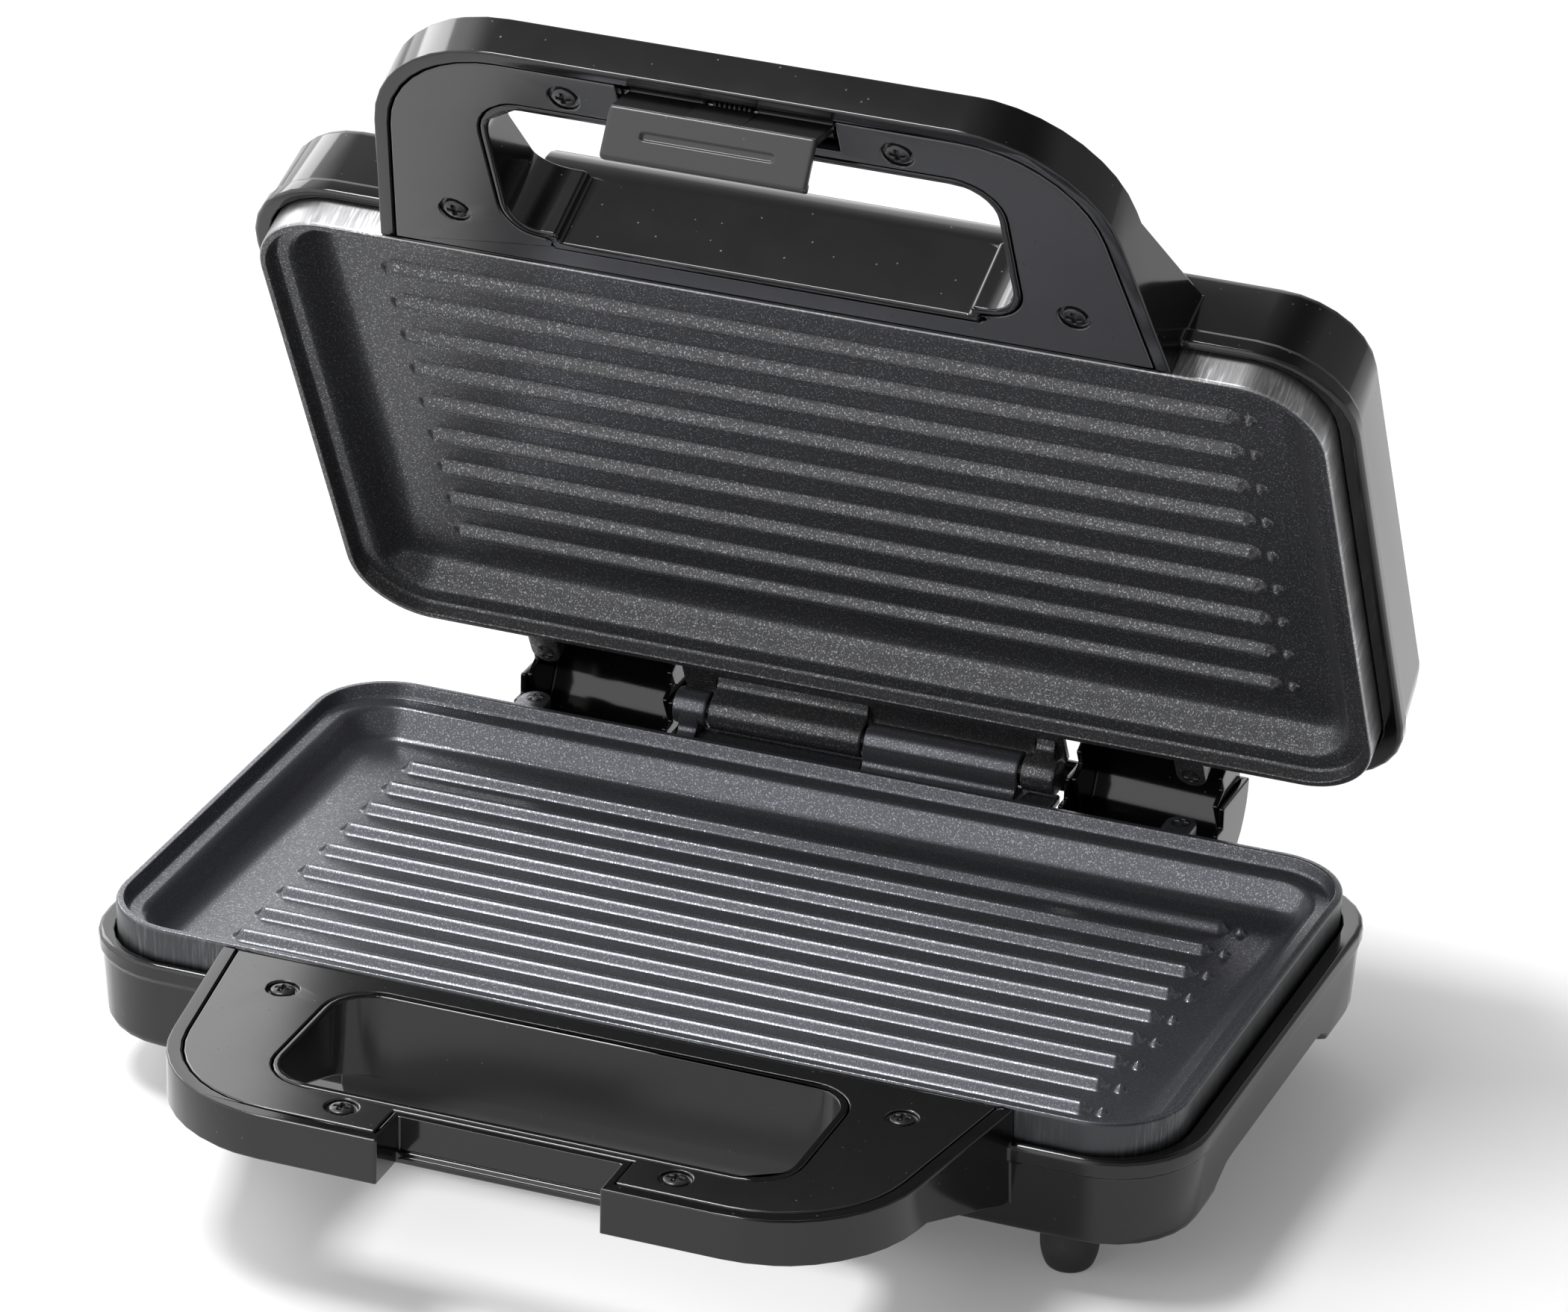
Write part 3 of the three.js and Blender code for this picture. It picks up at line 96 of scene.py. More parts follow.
class Signal:
    """A shader socket that takes part in Python arithmetic; each operation adds its Math node."""

    def __init__(self, graph: "Graph", socket: bpy.types.NodeSocket) -> None:
        """Keeps the socket and the graph it lives in."""
        self.graph = graph
        self.socket = socket

    def _math(self, operation: str, first: "Value", second: "Value" = 0.0) -> "Signal":
        """Adds a Math node and returns its result."""
        return self.graph.node("ShaderNodeMath", {"operation": operation}, {0: first, 1: second})

    def __add__(self, other: "Value") -> "Signal":
        """self + other."""
        return self._math("ADD", self, other)

    def __radd__(self, other: "Value") -> "Signal":
        """other + self."""
        return self._math("ADD", other, self)

    def __sub__(self, other: "Value") -> "Signal":
        """self - other."""
        return self._math("SUBTRACT", self, other)

    def __rsub__(self, other: "Value") -> "Signal":
        """other - self."""
        return self._math("SUBTRACT", other, self)

    def __mul__(self, other: "Value") -> "Signal":
        """self times other."""
        return self._math("MULTIPLY", self, other)

    def __rmul__(self, other: "Value") -> "Signal":
        """other times self."""
        return self._math("MULTIPLY", other, self)

    def above(self, edge: float, width: float) -> "Signal":
        """A mask that rises from 0 to 1 as this value passes from edge to edge + width."""
        return self.graph.node(
            "ShaderNodeMapRange",
            {"interpolation_type": "SMOOTHSTEP"},
            {"Value": self, "From Min": edge, "From Max": edge + width},
        )


Value = Union[Signal, float, Sequence[float]]


class Graph:
    """The node tree of a material or of the world."""

    def __init__(self, owner: Union[bpy.types.Material, bpy.types.World]) -> None:
        """Starts an empty tree.

        Args:
            owner: the material or the world.
        """
        owner.use_nodes = True
        self.tree = owner.node_tree
        self.tree.nodes.clear()

    def node(self, kind: str, settings: dict, inputs: dict, output: Union[int, str] = 0) -> Signal:
        """Adds a node.

        Args:
            kind: the node's type name.
            settings: the node's own properties, set before its sockets are read.
            inputs: socket name or number to a value or a link.
            output: which result to return.

        Returns:
            The chosen output as a signal.
        """
        made = self.tree.nodes.new(kind)
        for key, value in settings.items():
            setattr(made, key, value)
        for key, value in inputs.items():
            socket = made.inputs[key]
            if isinstance(value, Signal):
                self.tree.links.new(value.socket, socket)
            else:
                socket.default_value = value
        return Signal(self, made.outputs[output])

    def close(self, shader: Signal, kind: str) -> None:
        """Joins the finished shader to an output node of that kind."""
        output = self.tree.nodes.new(kind)
        self.tree.links.new(shader.socket, output.inputs["Surface"])

    def place(self, scale: Colour = (1, 1, 1), turn: float = 0.0) -> Signal:
        """Object coordinates in metres, turned about X and then stretched.

        Args:
            scale: stretch along each axis; a small number draws a pattern out along it.
            turn: turn about X, in radians.

        Returns:
            The coordinates.
        """
        where = self.node("ShaderNodeTexCoord", {}, {}, "Object")
        turned = self.node("ShaderNodeMapping", {}, {"Vector": where, "Rotation": (turn, 0, 0)})
        return self.node("ShaderNodeMapping", {}, {"Vector": turned, "Scale": scale})

    def noise(self, where: Signal, scale: float, detail: float = 2.0, rough: float = 0.5) -> Signal:
        """Fractal noise from 0 to 1, scale in cells per metre."""
        inputs = {"Vector": where, "Scale": scale, "Detail": detail, "Roughness": rough}
        return self.node("ShaderNodeTexNoise", {}, inputs, "Fac")

    def cells(self, where: Signal, scale: float) -> Signal:
        """Distance to the nearest of a scatter of points, scale in points per metre."""
        return self.node("ShaderNodeTexVoronoi", {}, {"Vector": where, "Scale": scale}, "Distance")

    def blend(self, low: Value, high: Value, mask: Value) -> Signal:
        """Colour that runs from low to high with the mask."""
        inputs = {0: mask, 6: _rgba(low), 7: _rgba(high)}
        return self.node("ShaderNodeMix", {"data_type": "RGBA"}, inputs, 2)

    def bump(
        self,
        height: Signal,
        strength: float,
        distance: float,
        base: Signal | None = None,
    ) -> Signal:
        """Normal from a height signal.

        Args:
            height: height from 0 to 1.
            strength: share of the bump that counts.
            distance: metres for a height of 1.
            base: another bump that this one lies on.

        Returns:
            The normal.
        """
        inputs = {"Height": height, "Strength": strength, "Distance": distance}
        if base is not None:
            inputs["Normal"] = base
        return self.node("ShaderNodeBump", {}, inputs)


def _rgba(value: Value) -> Value:
    """A colour of three numbers with its alpha added; a signal passes through."""
    return value if isinstance(value, Signal) else (*value, 1.0)


# ---------------------------------------------------------------- finishes


@dataclass(frozen=True)
class Finish:
    """One surface finish; the subclasses say what varies over it."""

    name: str
    slot: str
    base: Colour
    roughness: float
    metallic: float = 0.0
    specular: float = 0.5

    def vary(self, graph: Graph) -> dict[str, Value]:
        """Sockets of the shader that change over the surface."""
        cloud = graph.noise(graph.place(), 60.0)
        return {"Roughness": self.roughness + (cloud - 0.5) * 0.1}

    def build(self) -> bpy.types.Material:
        """Makes the material.

        Returns:
            The material, its constants on the shader's own sockets.
        """
        material = bpy.data.materials.new(self.name)
        graph = Graph(material)
        sockets = {
            "Base Color": _rgba(self.base),
            "Roughness": self.roughness,
            "Metallic": self.metallic,
            "Specular IOR Level": self.specular,
        }
        sockets.update(self.vary(graph))
        shader = graph.node("ShaderNodeBsdfPrincipled", {}, sockets)
        graph.close(shader, "ShaderNodeOutputMaterial")
        return material


@dataclass(frozen=True)
class MouldedPlastic(Finish):
    """Polished moulding with slow flow waves, fine handling haze and a few specks of dust."""

    wave: float = 0.00003
    haze: float = 0.07
    dust: Colour = (0.09, 0.09, 0.09)
    pore_depth: float = 0.00002

    def vary(self, graph: Graph) -> dict[str, Value]:
        """Haze and dust on the roughness, flow waves and pore grain on the normal.

        Args:
            graph: the material's nodes.

        Returns:
            Shader sockets and what feeds them.
        """
        where = graph.place()
        flow = graph.noise(where, 26.0, 1.5)
        haze = graph.noise(where, 70.0, 4.0, 0.6)
        pores = graph.noise(where, 2200.0, 1.0)
        specks = 1 - graph.cells(where, 260.0).above(0.05, 0.03)
        settled = specks * haze.above(0.45, 0.2) * 0.8
        waves = graph.bump(flow, 0.5, self.wave)
        return {
            "Base Color": graph.blend(self.base, self.dust, settled),
            "Roughness": self.roughness + (haze - 0.5) * self.haze + specks * 0.2,
            "Normal": graph.bump(pores, 0.12, self.pore_depth, waves),
        }


@dataclass(frozen=True)
class CookingCoat(Finish):
    """Sprayed non-stick coating: a dark matt ground full of fine metallic flecks."""

    fleck: Colour = (0.24, 0.24, 0.26)
    grain: float = 0.00003
    peel_depth: float = 0.000048
    fleck_gloss: float = 0.08
    fleck_metal: float = 0.25

    def vary(self, graph: Graph) -> dict[str, Value]:
        """Flecks brighten and smooth the ground; the spray's orange peel and grain lift the normal.

        Args:
            graph: the material's nodes.

        Returns:
            Shader sockets and what feeds them.
        """
        where = graph.place()
        spray = graph.noise(where, 2300.0, 2.0, 0.65)
        shine = spray.above(0.53, 0.14)
        cloud = graph.noise(where, 24.0, 3.0)
        peel = graph.noise(where, 620.0, 2.0)
        rolled = graph.bump(peel, 0.07, self.peel_depth)
        return {
            "Base Color": graph.blend(self.base, self.fleck, shine),
            "Roughness": self.roughness - shine * self.fleck_gloss + (cloud - 0.5) * 0.05,
            "Metallic": self.metallic + shine * self.fleck_metal,
            "Normal": graph.bump(spray, 0.5, self.grain, rolled),
        }


@dataclass(frozen=True)
class MachinedWall(Finish):
    """Edge of a casting skimmed by a cutter, with its short streaks across the wall."""

    turn: float = 0.0
    streak_squeeze: float = 0.05
    streak_depth: float = 0.00004

    def vary(self, graph: Graph) -> dict[str, Value]:
        """Streaks run along the wall's height, so the pattern is squeezed that way.

        Args:
            graph: the material's nodes.

        Returns:
            Shader sockets and what feeds them.
        """
        where = graph.place((1.0, 1.0, self.streak_squeeze), self.turn)
        streak = graph.noise(where, 1500.0, 3.0, 0.7)
        patch = graph.noise(graph.place(), 45.0, 3.0)
        worn = streak.above(0.45, 0.25)
        light = tuple(min(1.0, part * 2.6 + 0.02) for part in self.base)
        return {
            "Base Color": graph.blend(self.base, light, worn * patch.above(0.35, 0.4)),
            "Roughness": self.roughness + (streak - 0.5) * 0.25,
            "Normal": graph.bump(streak, 0.5, self.streak_depth),
        }


@dataclass(frozen=True)
class DrawnMetal(Finish):
    """Drawn or rolled metal with fine lines along X and a little tarnish."""

    line_squeeze: float = 0.04
    line_depth: float = 0.00002
    tarnish: float = 0.55

    def vary(self, graph: Graph) -> dict[str, Value]:
        """Lines squeezed along X, tarnish as slow patches.

        Args:
            graph: the material's nodes.

        Returns:
            Shader sockets and what feeds them.
        """
        lines = graph.noise(graph.place((self.line_squeeze, 1.0, 1.0)), 2600.0, 2.0)
        patches = graph.noise(graph.place(), 120.0, 4.0, 0.6)
        dull = tuple(part * self.tarnish for part in self.base)
        return {
            "Base Color": graph.blend(self.base, dull, patches.above(0.5, 0.3)),
            "Roughness": self.roughness + (lines - 0.5) * 0.2,
            "Normal": graph.bump(lines, 0.3, self.line_depth),
        }


@dataclass(frozen=True)
class MattGrain(Finish):
    """Rubber, ceramic or sheath with an even matt grain and slow soiling."""

    grain: float = 1500.0
    grain_depth: float = 0.00006
    soil: Colour = (0.05, 0.05, 0.05)

    def vary(self, graph: Graph) -> dict[str, Value]:
        """Grain on the normal, soiling on the colour and the roughness.

        Args:
            graph: the material's nodes.

        Returns:
            Shader sockets and what feeds them.
        """
        where = graph.place()
        grit = graph.noise(where, self.grain, 3.0)
        soiled = graph.noise(where, 90.0, 4.0, 0.6).above(0.48, 0.3)
        return {
            "Base Color": graph.blend(self.base, self.soil, soiled * 0.5),
            "Roughness": self.roughness + (grit - 0.5) * 0.15,
            "Normal": graph.bump(grit, 0.4, self.grain_depth),
        }


@dataclass(frozen=True)
class Floor(Finish):
    """Pale floor, lit a little from below like a light table."""

    glow: float = 0.12

    def vary(self, graph: Graph) -> dict[str, Value]:
        """Faint mottling of the colour, and an even glow.

        Args:
            graph: the material's nodes.

        Returns:
            Shader sockets and what feeds them.
        """
        mottle = graph.noise(graph.place(), 3.0, 2.0)
        darker = tuple(part * 0.98 for part in self.base)
        return {
            "Base Color": graph.blend(darker, self.base, mottle),
            "Emission Color": (1.0, 1.0, 1.0, 1.0),
            "Emission Strength": self.glow,
        }


class Palette:
    """Builds each finish once and hands out its material."""

    def __init__(self) -> None:
        """Starts with nothing built."""
        self.made: dict[str, bpy.types.Material] = {}

    def __getitem__(self, finish: Finish) -> bpy.types.Material:
        """The material of a finish.

        Args:
            finish: the finish, known by its name.

        Returns:
            Its material, built at the first call.
        """
        if finish.name not in self.made:
            self.made[finish.name] = finish.build()
        return self.made[finish.name]


# ---------------------------------------------------------------- shapes


@dataclass
class Shape:
    """A closed surface.

    Attributes:
        points: places in millimetres.
        faces: polygons as rows of point numbers, grouped by their corner count.
        tones: which finish each group takes; all take the first if none is given.
    """

    points: np.ndarray
    faces: list[np.ndarray]
    tones: Sequence[int] = ()

    def volume(self) -> float:
        """Signed volume by the divergence theorem, over a fan of triangles in each polygon.

        Returns:
            The volume, positive when the faces point out.
        """
        total = 0.0
        for group in self.faces:
            corners = self.points[group]
            for step in range(1, group.shape[1] - 1):
                normal = np.cross(corners[:, step], corners[:, step + 1])
                total += float(np.einsum("ij,ij->", corners[:, 0], normal)) / 6
        return total

    def outward(self) -> "Shape":
        """Turns every face outwards.

        Returns:
            The same shape.
        """
        if self.volume() < 0:
            self.faces = [group[:, ::-1] for group in self.faces]
        return self


def lattice(rows: int, cols: int, wrap_rows: bool = False) -> np.ndarray:
    """Quads over a grid of points that closes round its columns.

    Args:
        rows: count of rows.
        cols: count of columns.
        wrap_rows: whether the last row joins the first.

    Returns:
        Array of quads by 4 point numbers, where point (i, j) is i * cols + j.
    """
    row = np.arange(rows if wrap_rows else rows - 1)[:, None]
    col = np.arange(cols)[None, :]
    below, beside = (row + 1) % rows, (col + 1) % cols
    corners = [row * cols + col, row * cols + beside, below * cols + beside, below * cols + col]
    return np.stack([np.broadcast_to(part, (len(row), cols)) for part in corners], -1).reshape(-1, 4)


def loft(rings: np.ndarray) -> Shape:
    """Skin over rings of equal point counts, closed by a flat face on the first and the last ring.

    Args:
        rings: array of rings by points by 3.

    Returns:
        A closed shape.
    """
    count, size = rings.shape[:2]
    ends = np.stack([np.arange(size)[::-1], (count - 1) * size + np.arange(size)])
    return Shape(rings.reshape(-1, 3), [lattice(count, size), ends]).outward()


def hoop(rings: np.ndarray) -> Shape:
    """Skin over rings that closes both ways, such as a sleeve with a bore."""
    count, size = rings.shape[:2]
    return Shape(rings.reshape(-1, 3), [lattice(count, size, True)]).outward()


def soften(
    points: Sequence[Sequence[float]],
    reach: Union[float, Sequence[float]],
    steps: int = 6,
    closed: bool = False,
) -> np.ndarray:
    """Rounds the corners of a polyline.

    Each corner P becomes the quadratic curve (1-u)^2 A + 2u(1-u) P + u^2 B, where A and B lie up to
    reach away on its two sides, and no further than half of each.

    Args:
        points: the corners.
        reach: how far each curve reaches along its sides, one number or one for each corner.
        steps: segments in each curve.
        closed: whether the last corner joins the first.

    Returns:
        The rounded points.
    """
    corner = np.asarray(points, float)
    before, after = np.roll(corner, 1, 0), np.roll(corner, -1, 0)
    spread = np.broadcast_to(np.asarray(reach, float), (len(corner),))[:, None]

    def toward(other: np.ndarray) -> np.ndarray:
        """Points up to reach away from each corner towards another."""
        gap = np.linalg.norm(other - corner, axis=1, keepdims=True)
        return corner + (other - corner) * np.minimum(spread, gap * 0.49) / np.maximum(gap, 1e-9)

    start, end = toward(before)[:, None], toward(after)[:, None]
    u = np.linspace(0, 1, steps + 1)[None, :, None]
    curve = (1 - u) ** 2 * start + 2 * u * (1 - u) * corner[:, None] + u**2 * end
    if closed:
        return curve.reshape(-1, corner.shape[1])
    return np.vstack([corner[:1], curve[1:-1].reshape(-1, corner.shape[1]), corner[-1:]])


def rounded_rectangle(
    half: np.ndarray,
    front: np.ndarray,
    rear: np.ndarray,
    radius: np.ndarray,
    steps: int,
) -> np.ndarray:
    """Rounded rectangles, one for each entry of the arrays.

    Point k of a corner lies at its centre plus radius times (cos t, sin t), t running a quarter turn.

    Args:
        half: half widths along X.
        front: lowest y.
        rear: highest y.
        radius: corner radii.
        steps: segments in each corner.

    Returns:
        Array of entries by points by 2.
    """
    t = np.linspace(0, math.pi / 2, steps + 1)
    quarter = np.arange(4)[:, None] * (math.pi / 2) + t[None, :] - math.pi / 2
    right = np.array([1, 1, -1, -1])[None, :, None]
    back = np.array([0, 1, 1, 0])[None, :, None]
    radius = radius[:, None, None]
    x = right * (half[:, None, None] - radius) + radius * np.cos(quarter)[None]
    near = front[:, None, None] + radius
    far = rear[:, None, None] - radius
    y = np.where(back == 1, far, near) + radius * np.sin(quarter)[None]
    return np.stack([x, y], -1).reshape(len(half), -1, 2)


def revolved(profile: np.ndarray, axis: str, centre: Sequence[float], steps: int) -> np.ndarray:
    """Rings of a surface of revolution.

    Point (i, j) lies at centre + along_i * axis + radius_i * (cos t_j, sin t_j) in the plane across.

    Args:
        profile: [distance along the axis, radius] pairs.
        axis: "X", "Y" or "Z".
        centre: a point on the axis, from which the distances run.
        steps: points round a turn.

    Returns:
        Array of rings by points by 3.
    """
    t = np.arange(steps) * (2 * math.pi / steps)
    along, radius = profile[:, 0][:, None], profile[:, 1][:, None]
    first, second = radius * np.cos(t), radius * np.sin(t)
    level = np.broadcast_to(along, first.shape)
    places = {
        "X": (level, first, second),
        "Y": (second, level, first),
        "Z": (first, second, level),
    }
    return np.stack(places[axis], -1) + np.asarray(centre, float)


def turned(profile: np.ndarray, axis: str, centre: Sequence[float], steps: int = 64) -> Shape:
    """Solid of revolution, its first and last ring closed flat."""
    return loft(revolved(profile, axis, centre, steps))


def carried(profile: np.ndarray, x0: float, x1: float, edge: float) -> Shape:
    """A closed [y, z] outline carried along X, with its two ends drawn in by a rounded edge.

    The outline moves in along its own normals by edge * (1 - sin a) while x runs edge * (1 - cos a)
    from each end, a going from 0 to a quarter turn.

    Args:
        profile: the outline's [y, z] points.
        x0: where it starts.
        x1: where it ends.
        edge: radius of the rounded ends.

    Returns:
        A closed shape.
    """
    ahead, behind = np.roll(profile, -1, 0), np.roll(profile, 1, 0)
    tangent = ahead - behind
    normal = np.stack([tangent[:, 1], -tangent[:, 0]], 1)
    normal /= np.maximum(np.linalg.norm(normal, axis=1, keepdims=True), 1e-9)
    area = np.sum(profile[:, 0] * ahead[:, 1] - ahead[:, 0] * profile[:, 1])
    inward = -normal * np.sign(area)
    a = np.linspace(0, math.pi / 2, 5)
    inset = np.concatenate([edge * (1 - np.sin(a)), edge * (1 - np.sin(a[::-1]))])
    x = np.concatenate([x0 + edge * (1 - np.cos(a)), x1 - edge * (1 - np.cos(a[::-1]))])
    outline = profile[None] + inward[None] * inset[:, None, None]
    across = np.broadcast_to(x[:, None, None], (len(x), len(profile), 1))
    return loft(np.concatenate([across, outline], -1))


# ---------------------------------------------------------------- placing and making pieces


@dataclass(frozen=True)
class HalfFrame:
    """Carries a shape from the drawing frame of a half to its place on the grill.

    Attributes:
        side: which half.
        hinge: a point on the hinge axis, in metres.
        opened: how far the lid stands open, in radians.
        hinge_behind: the hinge axis behind mid-plate, in millimetres.
    """

    side: Side
    hinge: tuple[float, float, float]
    opened: float
    hinge_behind: float = HINGE_BEHIND

    def place(self, points: np.ndarray) -> np.ndarray:
        """Lower half: moved only. Lid: turned over about Y, then swung open about the hinge.

        Args:
            points: places in millimetres, in the half's drawing frame.

        Returns:
            Places in metres.
        """
        local = np.array(points, float) * MM
        if self.side is Side.UPPER:
            local = local * np.array([-1.0, 1.0, -1.0])
        local[:, 1] -= self.hinge_behind * MM
        if self.side is Side.UPPER:
            cos, sin = math.cos(self.opened), math.sin(self.opened)
            y, z = local[:, 1].copy(), local[:, 2].copy()
            local[:, 1] = y * cos + z * sin
            local[:, 2] = z * cos - y * sin
        return local + np.array(self.hinge)

    def middle(self, node: str) -> np.ndarray:
        """Middle of a base node's box, in millimetres, in the base's drawing frame."""
        from_hinge = np.mean(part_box(node), axis=0) - np.array(self.hinge)
        return from_hinge / MM + np.array([0.0, self.hinge_behind, 0.0])

    @property
    def body(self) -> str:
        """The moving body that this half's pieces ride on."""
        return "lid" if self.side is Side.UPPER else "base"

    @property
    def turn(self) -> float:
        """Turn about X that brings this half's height back to Z."""
        return self.opened if self.side is Side.UPPER else 0.0


@dataclass
class Workshop:
    """Turns shapes into finished, riding pieces and keeps count of them."""

    palette: Palette
    nodes: dict[str, bpy.types.Object]
    count: int = 0

    def make(
        self,
        name: str,
        shapes: Sequence[Shape],
        frame: HalfFrame,
        finishes: Sequence[Finish],
        stands_for: Sequence[str] = (),
        body: str = "",
        crease: float = 38.0,
    ) -> bpy.types.Object:
        """Makes one piece.

        Args:
            name: the object's name.
            shapes: closed shapes in the half's drawing frame, in millimetres.
            frame: where that half lies.
            finishes: finish for each tone that the shapes use.
            stands_for: modelled nodes that it replaces.
            body: moving body, if not the half's own.
            crease: edges sharper than this many degrees stay sharp.

        Returns:
            The object.
        """
        offsets = np.cumsum([0] + [len(shape.points) for shape in shapes[:-1]])
        points = frame.place(np.vstack([shape.points for shape in shapes]))
        groups = [
            (group + offset, tone)
            for shape, offset in zip(shapes, offsets)
            for group, tone in zip(shape.faces, shape.tones or [0] * len(shape.faces))
        ]
        sizes = np.concatenate([np.full(len(group), group.shape[1]) for group, _ in groups])
        tones = np.concatenate([np.full(len(group), tone) for group, tone in groups])
        mesh = bpy.data.meshes.new(name)
        mesh.vertices.add(len(points))
        mesh.vertices.foreach_set("co", points.astype(np.float32).ravel())
        corners = np.concatenate([group.ravel() for group, _ in groups])
        mesh.loops.add(len(corners))
        mesh.loops.foreach_set("vertex_index", corners.astype(np.int32))
        mesh.polygons.add(len(sizes))
        mesh.polygons.foreach_set("loop_start", (np.cumsum(sizes) - sizes).astype(np.int32))
        mesh.polygons.foreach_set("material_index", tones.astype(np.int32))
        mesh.update(calc_edges=True)
        return self._finish(name, mesh, frame, finishes, stands_for, body, crease)

    def refine(
        self,
        node: str,
        name: str,
        frame: HalfFrame,
        finish: Finish,
        edge: float,
    ) -> bpy.types.Object:
        """Replaces a faceted node by a copy of it with welded points and rounded edges.

        Args:
            node: the modelled node.
            name: the new piece's name.
            frame: the half it belongs to.
            finish: its finish.
            edge: radius of the rounded edges, in millimetres.

        Returns:
            The object.
        """
        mesh = self.nodes[node].data.copy()
        work = bmesh.new()
        work.from_mesh(mesh)
        bmesh.ops.remove_doubles(work, verts=work.verts, dist=WELD)
        bmesh.ops.dissolve_degenerate(work, dist=WELD, edges=work.edges)
        work.to_mesh(mesh)
        work.free()
        # The node's own flat normals would hide the rounded edges.
        for layer in list(mesh.attributes):
            if layer.name.startswith("custom_normal"):
                mesh.attributes.remove(layer)
        mesh.materials.clear()
        made = self._finish(name, mesh, frame, [finish], [node], frame.body, REFINED_CREASE)
        bevel = made.modifiers.new("rounded edges", "BEVEL")
        bevel.width = edge * MM
        bevel.segments = BEVEL_SEGMENTS
        bevel.limit_method = "ANGLE"
        bevel.angle_limit = math.radians(BEVEL_FROM)
        bevel.use_clamp_overlap = False
        bevel.harden_normals = False
        made.modifiers.new("even shading", "WEIGHTED_NORMAL").keep_sharp = False
        return made

    def _finish(
        self,
        name: str,
        mesh: bpy.types.Mesh,
        frame: HalfFrame,
        finishes: Sequence[Finish],
        stands_for: Sequence[str],
        body: str,
        crease: float,
    ) -> bpy.types.Object:
        """Shades a mesh, links its object, dresses it and sets it riding.

        Args:
            name: the object's name.
            mesh: the finished mesh.
            frame: the half it belongs to.
            finishes: finish for each tone.
            stands_for: modelled nodes that it replaces.
            body: moving body, if not the half's own.
            crease: edges sharper than this many degrees stay sharp.

        Returns:
            The object.
        """
        mesh.name = name
        mesh.polygons.foreach_set("use_smooth", np.ones(len(mesh.polygons), bool))
        mesh.set_sharp_from_angle(angle=math.radians(crease))
        for finish in finishes:
            mesh.materials.append(self.palette[finish])
        piece = bpy.data.objects.new(name, mesh)
        bpy.context.scene.collection.objects.link(piece)
        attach(piece, body or frame.body)
        finishes[0].slot
        if stands_for:
            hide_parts(*stands_for)
        self.count += 1
        LOG.info("made %s: %d faces", name, len(mesh.polygons))
        return piece

    def dress(self, node: str, finish: Finish) -> None:
        """Gives a modelled node, kept as it is, its finish.

        Args:
            node: the node's name.
            finish: its finish.
        """
        mesh = self.nodes[node].data
        mesh.materials.clear()
        mesh.materials.append(self.palette[finish])
        LOG.info("dressed %s", node)


# ---------------------------------------------------------------- finishes of this grill

HOUSING = MouldedPlastic(
    "polished housing", "housing", (0.004, 0.004, 0.0043), roughness=0.1, haze=0.05,
)
PANEL = MouldedPlastic(
    "satin handle cover", "handle_panel", (0.005, 0.005, 0.0053), roughness=0.22, specular=0.9, wave=0.00002,
)
LATCH = MouldedPlastic(
    "satin latch", "latch", (0.016, 0.016, 0.017), roughness=0.3, wave=0.00004, haze=0.14,
)
# The base's and the lid's plates carry one coating in two tones: the base's copy is painted lighter and
# bluer as painted light, the lid's copy darker as painted shade.
COAT_BASE_PAINTED_LIGHT = CookingCoat(
    "cooking coat of the base in painted light", "cooking_plate", (0.085, 0.087, 0.099), roughness=0.29, metallic=0.6,
)
COAT_LID_PAINTED_SHADE = CookingCoat(
    "cooking coat of the lid in painted shade", "cooking_plate", (0.045, 0.0455, 0.047), roughness=0.3, metallic=0.5,
)
BLACK_SCREW = DrawnMetal("blackened screw", "screw", (0.06, 0.06, 0.062), roughness=0.27, metallic=0.8)
SPRING_WIRE = DrawnMetal("oiled spring wire", "steel", (0.07, 0.07, 0.07), roughness=0.35, metallic=0.9)
BRIGHT_STEEL = DrawnMetal("bright steel", "steel", (0.55, 0.55, 0.56), roughness=0.28, metallic=1.0)
ALUMINISED = DrawnMetal("aluminised sheet", "shield", (0.55, 0.56, 0.57), roughness=0.4, metallic=1.0)
RUBBER_DUST = (0.04, 0.038, 0.035)
RUBBER = MattGrain("black rubber", "foot", (0.012, 0.012, 0.012), roughness=0.62, soil=RUBBER_DUST)
GLAND_RUBBER = MattGrain("gland rubber", "gland", (0.016, 0.016, 0.016), roughness=0.6, soil=RUBBER_DUST)
CERAMIC = MattGrain("fired ceramic", "ceramic", (0.62, 0.57, 0.48), roughness=0.7, soil=(0.4, 0.34, 0.26))
SHEATH = MattGrain(
    "oxidised element sheath", "heater", (0.12, 0.11, 0.1), roughness=0.55, metallic=0.8,
    soil=(0.05, 0.035, 0.03),
)
RED_LENS = MouldedPlastic("red lens", "red_lens", (0.35, 0.012, 0.012), roughness=0.12)
GREEN_LENS = MouldedPlastic("green lens", "green_lens", (0.012, 0.25, 0.05), roughness=0.12)
PALE_FLOOR = Floor("pale floor", "", (0.72, 0.72, 0.72), roughness=0.7, specular=0.2)
# One machined finish in two tones: the lid's edge is painted light grey as painted light, the base's edge
# near black as painted shade.
MACHINED_PAINTED_LIGHT_AND_SHADE = {Side.LOWER: (0.06, 0.062, 0.066), Side.UPPER: (0.26, 0.26, 0.265)}


def machined(frame: HalfFrame) -> MachinedWall:
    """Finish of the plate's skimmed outer wall, its streaks running across that half's edge; the lid's edge
    is painted lighter as painted light, the base's darker as painted shade.
    """
    name, shade = f"machined {frame.side.value} edge", MACHINED_PAINTED_LIGHT_AND_SHADE[frame.side]
    return MachinedWall(name, "cooking_plate", shade, roughness=0.34, metallic=0.9, turn=frame.turn)


# ---------------------------------------------------------------- cooking plate


